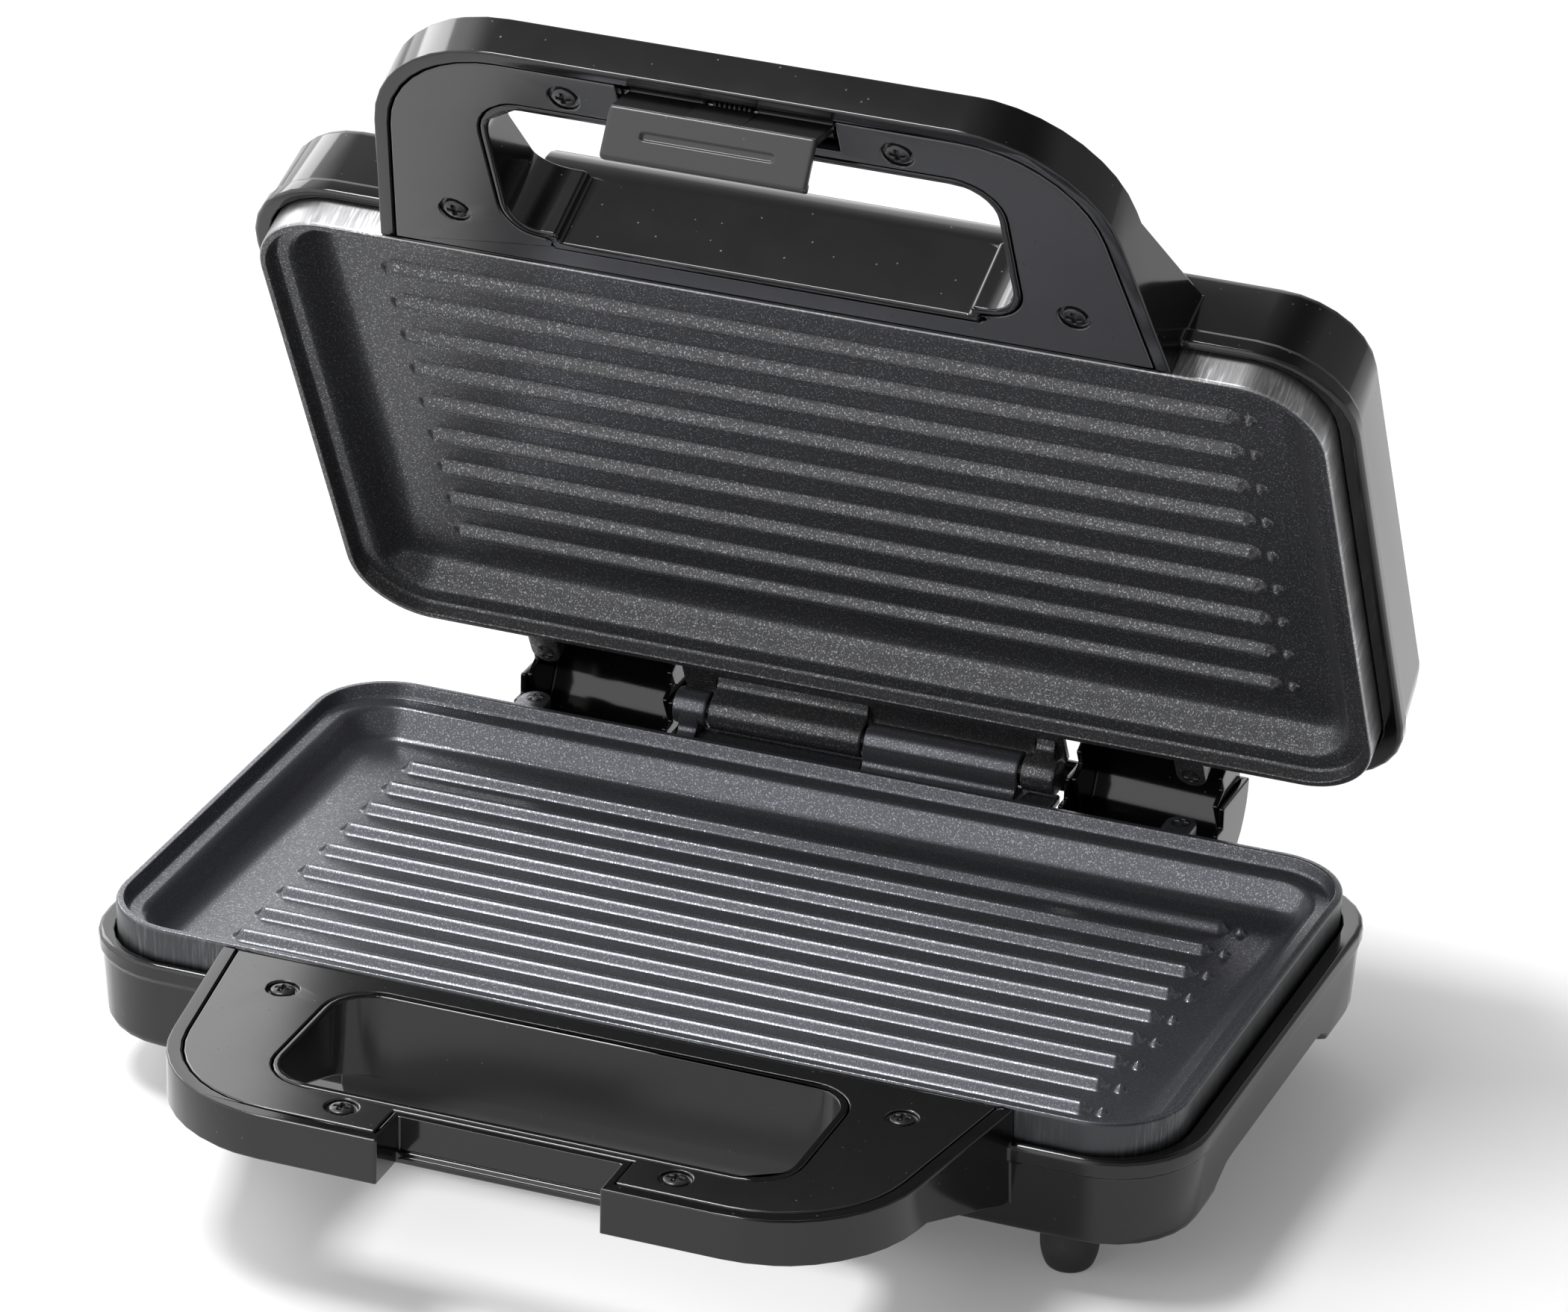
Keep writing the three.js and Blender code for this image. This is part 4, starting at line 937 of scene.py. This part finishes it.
@dataclass
class CookingPlate:
    """Die-cast plate: tray with a stepped rim, ribs that each have a button, lugs and hinge barrels."""

    frame: HalfFrame
    shop: Workshop
    half_width: float = 141.0
    half_depth: float = 78.0
    corner: float = 21.0
    floor: float = -13.0
    rib_count: int = 9
    rib_pitch: float = 13.0
    rib_shift: float = 1.85
    rib_half_length: float = 114.5
    rib_half_width: float = 3.5
    rib_height: float = 2.55
    rib_sink: float = 0.03
    rib_root: float = 1.0
    hump_power: float = 1.05
    button_offset: float = 2.2
    button_radius: float = 2.1
    button_height: float = 1.9
    hinge_y: float = HINGE_BEHIND
    barrel_radius: float = 4.8
    hinge_half: float = 53.0
    barrel_end: float = 43.0
    barrel_gap: float = 0.8
    barrel_flat: float = 2.4
    knuckle_half_width: float = 2.75
    web_top: float = -5.8
    web_low: float = -8.6
    lug_x: float = 89.6
    lug_y: float = 84.4
    lug_radius: float = 4.1
    lug_root: float = 1.5
    lug_rings: tuple = ((-8.0, 0.9), (-8.0, 1.0), (-1.8, 1.0), (-1.45, 0.96), (-1.3, 0.88))
    smallest_corner: float = 4.5
    wall_span: tuple = (-12.9, -0.5)
    wall_draft: float = 0.5

    def tray(self) -> Shape:
        """The tray as one section carried round a rounded rectangle.

        Each section point is [inset at the sides, inset at the ends, height]; a ring's corner radius is
        the plate's less its side inset. The stretch below the rim is the machined wall.

        Returns:
            A closed shape with two tones, the coat and the machined wall.
        """
        corners_and_reach = (
            ((14, 14, -17), 0),  # underside
            ((9, 9, -17), 1.2),
            ((0.4, 0.4, -12.8), 1.4),  # outer wall
            ((0, 0, -0.95), 0.45),
            ((0.45, 0.45, -0.3), 0.35),  # rim
            ((2.0, 2.0, -0.3), 0.5),
            ((2.9, 2.9, -4.1), 1.1),  # step inside the rim
            ((7.2, 7.2, -4.75), 1.8),
            ((11.7, 10.2, -11.6), 2.6),  # slope down to the drip channel
            ((15.4, 13.0, self.floor), 3.6),
            ((24, 22, self.floor), 0),
        )
        section = soften(*zip(*corners_and_reach), steps=7)
        rings = rounded_rectangle(
            self.half_width - section[:, 0],
            -self.half_depth + section[:, 1],
            self.half_depth - section[:, 1],
            np.maximum(self.corner - section[:, 0], self.smallest_corner),
            20,
        )
        height = np.broadcast_to(section[:, 2][:, None, None], (*rings.shape[:2], 1))
        body = loft(np.concatenate([rings, height], -1))
        quads, ends = body.faces
        corners = body.points[quads]
        level = corners[:, :, 2].mean(1)
        corner_centre = np.array([self.half_width, self.half_depth]) - self.corner
        past = np.abs(corners[:, :, :2]) - corner_centre
        inset = self.corner - np.linalg.norm(np.maximum(past, 0), axis=-1)
        low, top = self.wall_span
        wall = (level < top) & (level > low) & (inset.max(1) < self.wall_draft)
        return Shape(body.points, [quads[~wall], quads[wall], ends], (0, 1, 0))

    def rib(self, index: int) -> Shape:
        """One rib as a height over the floor.

        Height = H f(d / w), where f(s) = (1 + cos(pi s^p)) / 2, and d is the distance to the rib's
        centre line. The button is a second such hump past one end, and the higher of the two counts.

        Args:
            index: which rib, counted from the front.

        Returns:
            A closed shape, its samples close together only near the two ends.
        """
        side = 1.0 if self.frame.side is Side.LOWER else -1.0
        middle = self.rib_shift + (index - (self.rib_count - 1) / 2) * self.rib_pitch
        reach = self.rib_half_width
        inner = self.rib_half_length - reach
        button = self.rib_half_length + self.button_offset
        near = np.linspace(-self.rib_half_length, -inner + 1, 15)
        far = np.linspace(inner - 1, button + self.button_radius, 40)
        along = np.concatenate([near, np.linspace(-inner + 3, inner - 3, 8), far])
        across = np.sin(np.linspace(-math.pi / 2, math.pi / 2, 25)) * reach
        x, y = np.meshgrid(along, across, indexing="ij")

        def hump(distance: np.ndarray, width: float) -> np.ndarray:
            """Rounded hump of unit height and the given half width."""
            return 0.5 * (1 + np.cos(math.pi * np.clip(distance / width, 0, 1) ** self.hump_power))

        bar = self.rib_height * hump(np.hypot(np.maximum(np.abs(x) - inner, 0), y), reach)
        knob = self.button_height * hump(np.hypot(x - button, y), self.button_radius)
        z = self.floor - self.rib_sink + np.maximum(bar, knob)
        top = np.stack([side * x, middle + y, z], -1)
        under = np.stack([side * x, middle + y, np.full_like(z, self.floor - self.rib_root)], -1)
        return loft(np.concatenate([top, under[:, ::-1]], 1))

    def hinge(self) -> list[Shape]:
        """Web behind the tray, a long barrel, and a short knuckle on a neck, each with softened ends.

        Returns:
            Closed shapes.
        """
        axis, radius, gap = self.hinge_y, self.barrel_radius, self.barrel_gap
        web_front, web_back = self.half_depth - 1, axis + 2
        web = soften(
            [
                (web_front, self.web_low), (web_back, self.web_low),
                (web_back, self.web_top), (web_front, self.web_top),
            ],
            0.8, 4, True,
        )
        short = self.barrel_end + gap
        neck = -(short + self.hinge_half) / 2

        def barrel(x0: float, x1: float) -> Shape:
            """Cylinder about the hinge with rounded rims.

            Args:
                x0: where it starts.
                x1: where it ends.

            Returns:
                A closed shape.
            """
            half, flat = (x1 - x0) / 2, self.barrel_flat
            rim = [(-half, flat), (-half, radius), (half, radius), (half, flat)]
            return turned(soften(rim, [0, 0.7, 0.7, 0], 5), "X", ((x0 + x1) / 2, axis, 0), 48)

        def stem(x0: float, x1: float) -> Shape:
            """Leg down from the barrel, spreading into the web with a fillet.

            Args:
                x0: where it starts.
                x1: where it ends.

            Returns:
                A closed shape.
            """
            foot = self.web_top - 0.1
            outline = soften(
                [
                    (axis - radius, 0), (axis - radius, -4.2), (axis - radius - 2.4, foot),
                    (axis + 1.2, foot), (axis + 0.5, -4.0), (axis + 0.5, 0),
                ],
                [0.2, 1.4, 0.2, 0.2, 0.6, 0.2], 5, True,
            )
            return carried(outline, x0, x1, 0.5)

        ends = [(gap / 2, self.barrel_end), (-self.hinge_half, -short)]
        stems = [ends[0], (neck - self.knuckle_half_width, neck + self.knuckle_half_width)]
        return [
            carried(web, -self.hinge_half, self.hinge_half, 0.8),
            *(barrel(*span) for span in ends),
            *(stem(*span) for span in stems),
        ]

    def lug(self, side: int) -> Shape:
        """Screw lug: a half-round tongue out of the plate's back edge, drawn in a little at its top.

        Args:
            side: -1 for the left one, 1 for the right one.

        Returns:
            A closed shape; each of its rings is the outline, shrunk about its middle.
        """
        t = np.linspace(0, math.pi, 25)
        x = side * self.lug_x + self.lug_radius * np.cos(t)
        y = self.lug_y + self.lug_radius * np.sin(t)
        root = self.half_depth - self.lug_root
        outline = np.vstack([[x[0], root], np.stack([x, y], 1), [x[-1], root]])
        middle = outline.mean(0)
        level, shrink = np.array(self.lug_rings).T
        rings = middle + (outline - middle)[None] * shrink[:, None, None]
        height = np.broadcast_to(level[:, None, None], (*rings.shape[:2], 1))
        return loft(np.concatenate([rings, height], -1))

    def build(self) -> None:
        """Makes the casting in place of the modelled plate."""
        name = self.frame.side.value
        pieces = [self.tray(), *(self.rib(index) for index in range(self.rib_count)), *self.hinge()]
        pieces += [self.lug(side) for side in (-1, 1)]
        # The lid's plate takes the coat darkened as painted shade, and the base's plate takes the coat
        # lightened as painted light.
        coat = COAT_LID_PAINTED_SHADE if self.frame.side is Side.UPPER else COAT_BASE_PAINTED_LIGHT
        finishes = [coat, machined(self.frame)]
        self.shop.make(f"{name}_cooking_plate", pieces, self.frame, finishes, [f"{name}_plate"])


# ---------------------------------------------------------------- fastenings, feet, gland and lamps


@dataclass
class ScrewSet:
    """Pan-head screws of one half, each with a domed head and a pressed cross recess."""

    frame: HalfFrame
    shop: Workshop
    head_radius: float = 3.0
    head_height: float = 1.5
    dome: float = 0.55
    shank_radius: float = 1.3
    length: float = 8.0
    recess_depth: float = 1.15
    arm_half_width: float = 0.42
    arm_length: float = 1.75
    arm_slope: float = 0.3
    arm_taper: float = 0.25
    rim: float = 0.12
    pole_radius: float = 0.12
    handle_places: tuple = (("rear", 80.9, -93.0), ("front", 42.9, -142.4))
    plate_place: tuple = (89.6, 84.4)
    handle_top: float = -0.3125
    plate_top: float = -0.9125

    def screw(self, x: float, y: float, top: float) -> Shape:
        """One screw.

        The head's top is a polar grid: z = top - dome (r / R)^2 less the cross, a smooth step of the
        distance to the nearer of two crossed bars. The shank follows as plain rings.

        Args:
            x: place across.
            y: place along.
            top: height of the head's middle.

        Returns:
            A closed shape.
        """
        t = np.arange(96) * (2 * math.pi / 96)
        outer = self.head_radius
        r = np.concatenate([[self.pole_radius], np.linspace(0.25, outer - 0.35, 26), [outer - self.rim]])
        u, v = r[:, None] * np.cos(t), r[:, None] * np.sin(t)

        def bar(a: np.ndarray, b: np.ndarray) -> np.ndarray:
            """Depth of one bar of the cross.

            Args:
                a: place along the bar.
                b: place across it.

            Returns:
                1 inside the bar, falling to 0 over its sloped wall.
            """
            out = np.maximum(np.abs(b) - self.arm_half_width, np.abs(a) - self.arm_length)
            s = np.clip(1 - out / self.arm_slope, 0, 1)
            return s * s * (3 - 2 * s)

        share = r[:, None] / outer
        deepest = self.recess_depth * (1 - self.arm_taper * share)
        cross = np.maximum(bar(u, v), bar(v, u)) * deepest
        head = np.stack([u, v, -self.dome * share**2 - cross], -1)
        radius = np.array([[outer], [outer], [self.shank_radius], [self.shank_radius]])
        level = np.array([[-self.dome - self.rim], [-self.head_height], [-self.head_height], [-self.length]])
        sides = np.stack([radius * np.cos(t), radius * np.sin(t), np.broadcast_to(level, (4, len(t)))], -1)
        return loft(np.concatenate([head, sides]) + np.array([x, y, top]))

    def build(self) -> None:
        """Makes each of this half's screws in place of its modelled node."""
        name = self.frame.side.value
        rows = [(f"handle_screw_{row}", *place, self.handle_top) for row, *place in self.handle_places]
        rows.append(("plate_screw", *self.plate_place, self.plate_top))
        for row, across, along, top in rows:
            for side, hand in ((-1, "left"), (1, "right")):
                shape = self.screw(side * across, along, top)
                node = f"{name}_{row}_{hand}"
                self.shop.make(f"{node}_cross_head", [shape], self.frame, [BLACK_SCREW], [node])


@dataclass
class Feet:
    """Four tapered rubber feet pushed into the base."""

    frame: HalfFrame
    shop: Workshop
    base: float = -34.0
    height: float = 14.0
    sole_radius: float = 5.6
    shoulder_radius: float = 7.5
    plug_radius: float = 4.0
    plug_length: float = 3.0

    def build(self) -> None:
        """Each foot is a turned profile with a rounded shoulder and a flat sole."""
        profile = soften(
            [
                (-self.height, 3.0), (-self.height, self.sole_radius),
                (-self.height + 4.4, self.shoulder_radius - 0.25), (-0.35, self.shoulder_radius),
                (-0.35, self.plug_radius), (self.plug_length, self.plug_radius),
            ],
            [0, 1.9, 2.4, 0.5, 0.3, 0], 8,
        )
        for corner in ("front_left", "front_right", "rear_left", "rear_right"):
            x, y, _ = self.frame.middle(f"foot_{corner}")
            shape = turned(profile, "Z", (x, y, self.base))
            self.shop.make(f"rubber_foot_{corner}", [shape], self.frame, [RUBBER], [f"foot_{corner}"])


@dataclass
class RearGland:
    """Cord gland in the base's rear wall, ringed by soft ribs."""

    frame: HalfFrame
    shop: Workshop
    wall_y: float = 81.3
    bore: float = 3.1
    sleeve_radius: float = 4.6
    collar_radius: float = 6.5

    def build(self) -> None:
        """A turned sleeve with its bore: the section runs round the collar and back through the hole."""
        wall, sleeve, collar = self.wall_y, self.sleeve_radius, self.collar_radius
        section = soften(
            [
                (wall - 4.5, self.bore), (wall - 4.5, sleeve), (wall + 1.35, sleeve),
                (wall + 1.35, collar), (wall + 3.0, collar), (wall + 3.5, collar - 0.6),
                (wall + 4.0, collar - 0.6), (wall + 5, 5.0), (wall + 5, self.bore),
            ],
            [0.2, 0.3, 0.1, 0.5, 0.3, 0.2, 0.3, 0.6, 0.5], 5, True,
        )
        x, _, z = self.frame.middle("cord_gland")
        shape = hoop(revolved(section, "Y", (x, 0, z), 56))
        self.shop.make("cord_gland_collar", [shape], self.frame, [GLAND_RUBBER], ["cord_gland"])


@dataclass
class Lamps:
    """Power and ready lamps let into the lid's outer face."""

    frame: HalfFrame
    shop: Workshop
    radius: float = 3.0
    flange_radius: float = 4.0
    spacing: float = 20.0
    y: float = -56.0
    face: float = -34.0

    def build(self) -> None:
        """Each lens is a low dome on a flanged stem."""
        profile = soften(
            [
                (-0.6, 0.3), (-0.6, 1.4), (-0.1, self.radius), (2.35, self.radius),
                (2.35, self.flange_radius), (3.35, self.flange_radius),
            ],
            [0, 0.9, 0.8, 0.1, 0.2, 0], 6,
        )
        for sign, name, finish in ((-1, "power", RED_LENS), (1, "ready", GREEN_LENS)):
            shape = turned(profile, "Z", (sign * self.spacing / 2, self.y, self.face), 48)
            self.shop.make(f"{name}_lamp_dome", [shape], self.frame, [finish], [f"{name}_lamp_lens"])


# ---------------------------------------------------------------- latch


@dataclass
class Latch:
    """Snap latch in the lid's handle: a folded plate on a hub, its pin and its torsion spring."""

    frame: HalfFrame
    shop: Workshop
    pivot: tuple = (-143.75, -5.4)
    half_width: float = 26.3
    sheet: float = 2.0
    nose: tuple = (-8.45, 11.9)
    tip: tuple = (-1.85, 22.8)
    hook: float = 3.0
    hub_radius: float = 3.1
    pin_radius: float = 1.2
    groove_half_length: float = 17.0
    groove_half_width: float = 0.95
    groove_depth: float = 0.55
    groove_slope: float = 0.7
    spring_half: float = 5.6
    spring_play: float = 0.45
    wire: float = 0.5
    coils: int = 8
    plate_edge: float = 0.9
    hub_gap: float = 1.2
    hub_flat: float = 1.4
    web_overlap: tuple = (1.2, 0.4)
    bridge_start: float = 0.3

    def plate(self) -> Shape:
        """The folded plate with its pressed groove.

        An outline of [across, down] points is carried along X over a fine grid. Points on the outer
        face move in by the groove's depth times a smooth step of their distance to its centre line.

        Returns:
            A closed shape.
        """
        nose, tip = np.array(self.nose), np.array(self.tip)
        drop = float(np.linalg.norm(tip - nose))
        down = (tip - nose) / drop
        inward = np.array([down[1], -down[0]])
        corners = [
            (0.0, self.sheet), (0.0, 0.0), (drop * 0.5, 0.0), (drop + 0.4, 0.0),
            (drop + 0.4, self.hook), (drop - 1.4, self.hook), (drop - 1.4, self.sheet),
        ]
        flat = soften(corners, [0.3, 1.0, 0, 1.5, 0.5, 0.4, 0.5], 6, True)
        # The outer face gets points of its own at an even pitch, for the groove to move.
        face_start, face_end = 1.0, drop - 1.1
        face = np.stack([np.linspace(face_start, face_end, 60), np.zeros(60)], 1)
        within = (flat[:, 0] > face_start - 0.01) & (flat[:, 0] < face_end + 0.05)
        on_face = (flat[:, 1] < 1e-6) & within
        start = int(np.argmax(on_face))
        rest = flat[~on_face]
        section = np.concatenate([rest[:start], face, rest[start:]])

        run, edge = self.half_width, self.plate_edge
        a = np.linspace(0, math.pi / 2, 6)
        from_end = edge * (1 - np.cos(a))
        between = np.linspace(-run + 1.4, run - 1.4, 150)
        x = np.concatenate([-run + from_end, between, run - from_end[::-1]])
        end_inset = edge * 0.55 * (1 - np.sin(a))
        inset = np.concatenate([end_inset, np.zeros(len(between)), end_inset[::-1]])
        middle = np.array([drop / 2, self.sheet / 2])
        size = np.abs(section - middle).max(0)
        shrink = 1 - inset[:, None] / size[None]
        grid = middle + (section - middle)[None] * shrink[:, None, :]

        straight = self.groove_half_length - self.groove_half_width
        distance = np.hypot(
            np.maximum(np.abs(x)[:, None] - straight, 0), section[:, 0][None] - drop * 0.5,
        )
        s = np.clip((self.groove_half_width - distance) / self.groove_slope + 0.5, 0, 1)
        press = np.where(section[:, 1][None] < 0.01, self.groove_depth * s * s * (3 - 2 * s), 0)
        depth = grid[..., 1] + press
        yz = nose + grid[..., :1] * down + depth[..., None] * inward
        across = np.broadcast_to(x[:, None, None], (len(x), len(section), 1))
        return loft(np.concatenate([across, yz + np.array(self.pivot)], -1))

    def hub(self) -> list[Shape]:
        """Two hub barrels either side of the spring, joined to the plate by webs and a low bridge.

        Returns:
            Closed shapes.
        """
        nose, pivot = np.array(self.nose), np.array(self.pivot)
        arm = nose / np.linalg.norm(nose)
        side = np.array([-arm[1], arm[0]]) * self.sheet / 2
        end = nose + np.array(self.web_overlap)
        start = nose * self.bridge_start
        web = soften(np.array([side, -side, end - side, end + side]) + pivot, 0.3, 3, True)
        strip = soften(np.array([start + side, start - side, end - side, end + side]) + pivot, 0.3, 3, True)
        gap, radius, flat = self.spring_half + self.hub_gap, self.hub_radius, self.hub_flat
        shapes = []
        for x0, x1 in ((-self.half_width, -gap), (gap, self.half_width)):
            half, middle = (x1 - x0) / 2, (x0 + x1) / 2
            ends = [(-half, flat), (-half, radius), (half, radius), (half, flat)]
            shapes.append(turned(soften(ends, [0, 0.4, 0.4, 0], 4), "X", (middle, *self.pivot), 40))
            shapes.append(carried(web, x0, x1, 0.3))
        shapes.append(carried(strip, -gap - 0.5, gap + 0.5, 0.1))
        return shapes

    def spring(self) -> Shape:
        """Close coils round the pin: centre (s, R cos t, R sin t), a wire section swept along it.

        Returns:
            A closed shape.
        """
        t = np.linspace(0, self.coils * 2 * math.pi, self.coils * 28)
        radius = self.pin_radius + self.spring_play + self.wire
        end = self.spring_half - self.wire
        along = np.linspace(-end, end, len(t))
        q = np.arange(10) * (2 * math.pi / 10)
        r = radius + self.wire * np.cos(q)[None]
        x = along[:, None] + self.wire * np.sin(q)[None]
        y = self.pivot[0] + r * np.cos(t)[:, None]
        z = self.pivot[1] + r * np.sin(t)[:, None]
        return loft(np.stack([x, y, z], -1))

    def build(self) -> None:
        """Makes the latch on its own body and its spring on the lid, and gives the pin its finish."""
        shapes = [self.plate(), *self.hub()]
        self.shop.make("latch_plate", shapes, self.frame, [LATCH], ["latch"], body="latch")
        self.shop.make("latch_return_spring", [self.spring()], self.frame, [SPRING_WIRE], ["latch_spring"])
        self.shop.dress("latch_pin", BRIGHT_STEEL)


# ---------------------------------------------------------------- housings, covers and inner pieces


@dataclass
class Shells:
    """One half's moulded housing and its handle cover, with their edges rounded."""

    frame: HalfFrame
    shop: Workshop
    housing_edge: float = 0.55
    cover_edge: float = 0.45

    def build(self) -> None:
        """Refines the modelled mouldings."""
        name = self.frame.side.value
        self.shop.refine(f"{name}_housing", f"{name}_shell", self.frame, HOUSING, self.housing_edge)
        self.shop.refine(f"{name}_handle_panel", f"{name}_handle_cover", self.frame, PANEL, self.cover_edge)


@dataclass
class InnerPieces:
    """Heating, wiring and hinge pieces that stay as modelled and only take their finish."""

    shop: Workshop
    finishes: dict[str, Finish] = field(default_factory=lambda: {
        "lower_heater": SHEATH, "upper_heater": SHEATH,
        "lower_heat_shield": ALUMINISED, "upper_heat_shield": ALUMINISED,
        "thermostat": CERAMIC, "thermal_fuse": CERAMIC, "terminal_block": CERAMIC, "lamp_holder": CERAMIC,
        "hinge_pin": BRIGHT_STEEL,
    })

    def build(self) -> None:
        """Dresses each node."""
        for node, finish in self.finishes.items():
            self.shop.dress(node, finish)


# ---------------------------------------------------------------- studio


@dataclass(frozen=True)
class Studio:
    """Pale floor, soft lights and the camera; none of it is part of the grill.

    Attributes:
        eye: the camera's place.
        target: the point it looks at.
        roll: its roll about its own axis, in degrees.
        lens: focal length in millimetres.
        sensor: width of its sensor in millimetres.
        floor_half: half the floor's width.
        lit: the point that the lights face.
        left: strength of the walls to the left.
        right: strength of the walls to the right.
        ceiling: share of that strength left overhead.
        side_edge: where along X, from -1 to 1, the right walls begin, and how softly.
        ceiling_edge: where along Z, from -1 to 1, the ceiling begins, and how softly.
        softboxes: name, place and size in metres, and power in watts of each light.
    """

    eye: tuple[float, float, float] = (0.6775, -1.7204, 0.9975)
    target: tuple[float, float, float] = (0.0, 0.0519, 0.0990)
    roll: float = 1.51
    lens: float = 192.07
    sensor: float = 36.0
    floor_half: float = 6.0
    lit: tuple[float, float, float] = (0, 0.02, 0.1)
    left: float = 2.1
    right: float = 0.4
    ceiling: float = 0.15
    side_edge: tuple[float, float] = (-0.35, 0.55)
    ceiling_edge: tuple[float, float] = (0.66, 0.26)
    softboxes: tuple = (
        ("key", (-0.57, -0.15, 1.65), (0.6, 0.5), 24),
        ("left", (-1.5, 0.9, 0.9), (0.7, 0.7), 6),
    )

    def camera(self) -> None:
        """Camera at the eye, looking at the target, rolled a little about its own axis."""
        data = bpy.data.cameras.new("camera")
        data.lens = self.lens
        data.sensor_width = self.sensor
        data.clip_end = 50.0
        seen = bpy.data.objects.new("camera", data)
        aim = (Vector(self.target) - Vector(self.eye)).to_track_quat("-Z", "Y")
        seen.rotation_mode = "QUATERNION"
        seen.rotation_quaternion = aim @ Quaternion((0, 0, 1), math.radians(self.roll))
        seen.location = self.eye
        bpy.context.scene.collection.objects.link(seen)
        bpy.context.scene.camera = seen

    def softbox(self, name: str, place: tuple, size: tuple, power: float) -> None:
        """Rectangular light that faces the grill.

        Args:
            name: the light's name.
            place: where it hangs, in metres.
            size: its width and height, in metres.
            power: in watts.
        """
        data = bpy.data.lights.new(name, "AREA")
        data.shape = "RECTANGLE"
        data.size, data.size_y = size
        data.energy = power
        lamp = bpy.data.objects.new(name, data)
        lamp.location = place
        lamp.rotation_mode = "QUATERNION"
        lamp.rotation_quaternion = (Vector(self.lit) - Vector(place)).to_track_quat("-Z", "Y")
        bpy.context.scene.collection.objects.link(lamp)

    def floor(self) -> None:
        """Wide pale floor just under the feet."""
        half = self.floor_half
        corners = [(-half, -half, 0), (half, -half, 0), (half, half, 0), (-half, half, 0)]
        mesh = bpy.data.meshes.new("floor")
        mesh.from_pydata(corners, [], [(0, 1, 2, 3)])
        mesh.materials.append(PALE_FLOOR.build())
        plane = bpy.data.objects.new("floor", mesh)
        bpy.context.scene.collection.objects.link(plane)

    def surroundings(self) -> None:
        """Bright walls to the left, dim ones to the right, under a dark ceiling.

        The strength is a smooth step along X times a smooth step along Z of the direction seen.
        """
        world = bpy.data.worlds.new("studio")
        graph = Graph(world)
        seen = graph.node("ShaderNodeTexCoord", {}, {}, "Generated")
        across = graph.node("ShaderNodeSeparateXYZ", {}, {"Vector": seen}, "X")
        upward = graph.node("ShaderNodeSeparateXYZ", {}, {"Vector": seen}, "Z")
        walls = self.left + across.above(*self.side_edge) * (self.right - self.left)
        strength = walls * (1 + upward.above(*self.ceiling_edge) * (self.ceiling - 1))
        colour = (1.0, 1.0, 1.0, 1.0)
        back = graph.node("ShaderNodeBackground", {}, {"Color": colour, "Strength": strength})
        graph.close(back, "ShaderNodeOutputWorld")
        bpy.context.scene.world = world

    def build(self) -> None:
        """Sets up the whole studio."""
        self.surroundings()
        bpy.context.scene.view_settings.view_transform = "Standard"
        self.floor()
        self.camera()
        for box in self.softboxes:
            self.softbox(*box)


# ---------------------------------------------------------------- the grill


def hinge_facts(joints: Sequence[dict]) -> tuple[tuple[float, float, float], float]:
    """Where the hinge is and how far the lid stands open.

    Args:
        joints: the part's joints.

    Returns:
        A point on the hinge axis in metres, and the lid's angle in radians.
    """
    lid = next(joint for joint in joints if joint["name"] == "lid_hinge")
    return tuple(lid["pos_m"]), math.radians(-lid["range_deg"][0])


def main() -> None:
    """Builds every piece around the loaded frame and reports them."""
    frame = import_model()
    hinge, opened = hinge_facts(frame["joints"])
    shop = Workshop(Palette(), frame["nodes"])
    Studio().build()
    lower = HalfFrame(Side.LOWER, hinge, opened)
    upper = HalfFrame(Side.UPPER, hinge, opened)
    for half in (lower, upper):
        Shells(half, shop).build()
        CookingPlate(half, shop).build()
        ScrewSet(half, shop).build()
    Feet(lower, shop).build()
    RearGland(lower, shop).build()
    Lamps(upper, shop).build()
    Latch(upper, shop).build()
    InnerPieces(shop).build()
    LOG.info("made %d pieces", shop.count)


if __name__ == "__main__":
    logging.basicConfig(level=logging.INFO)
    main()
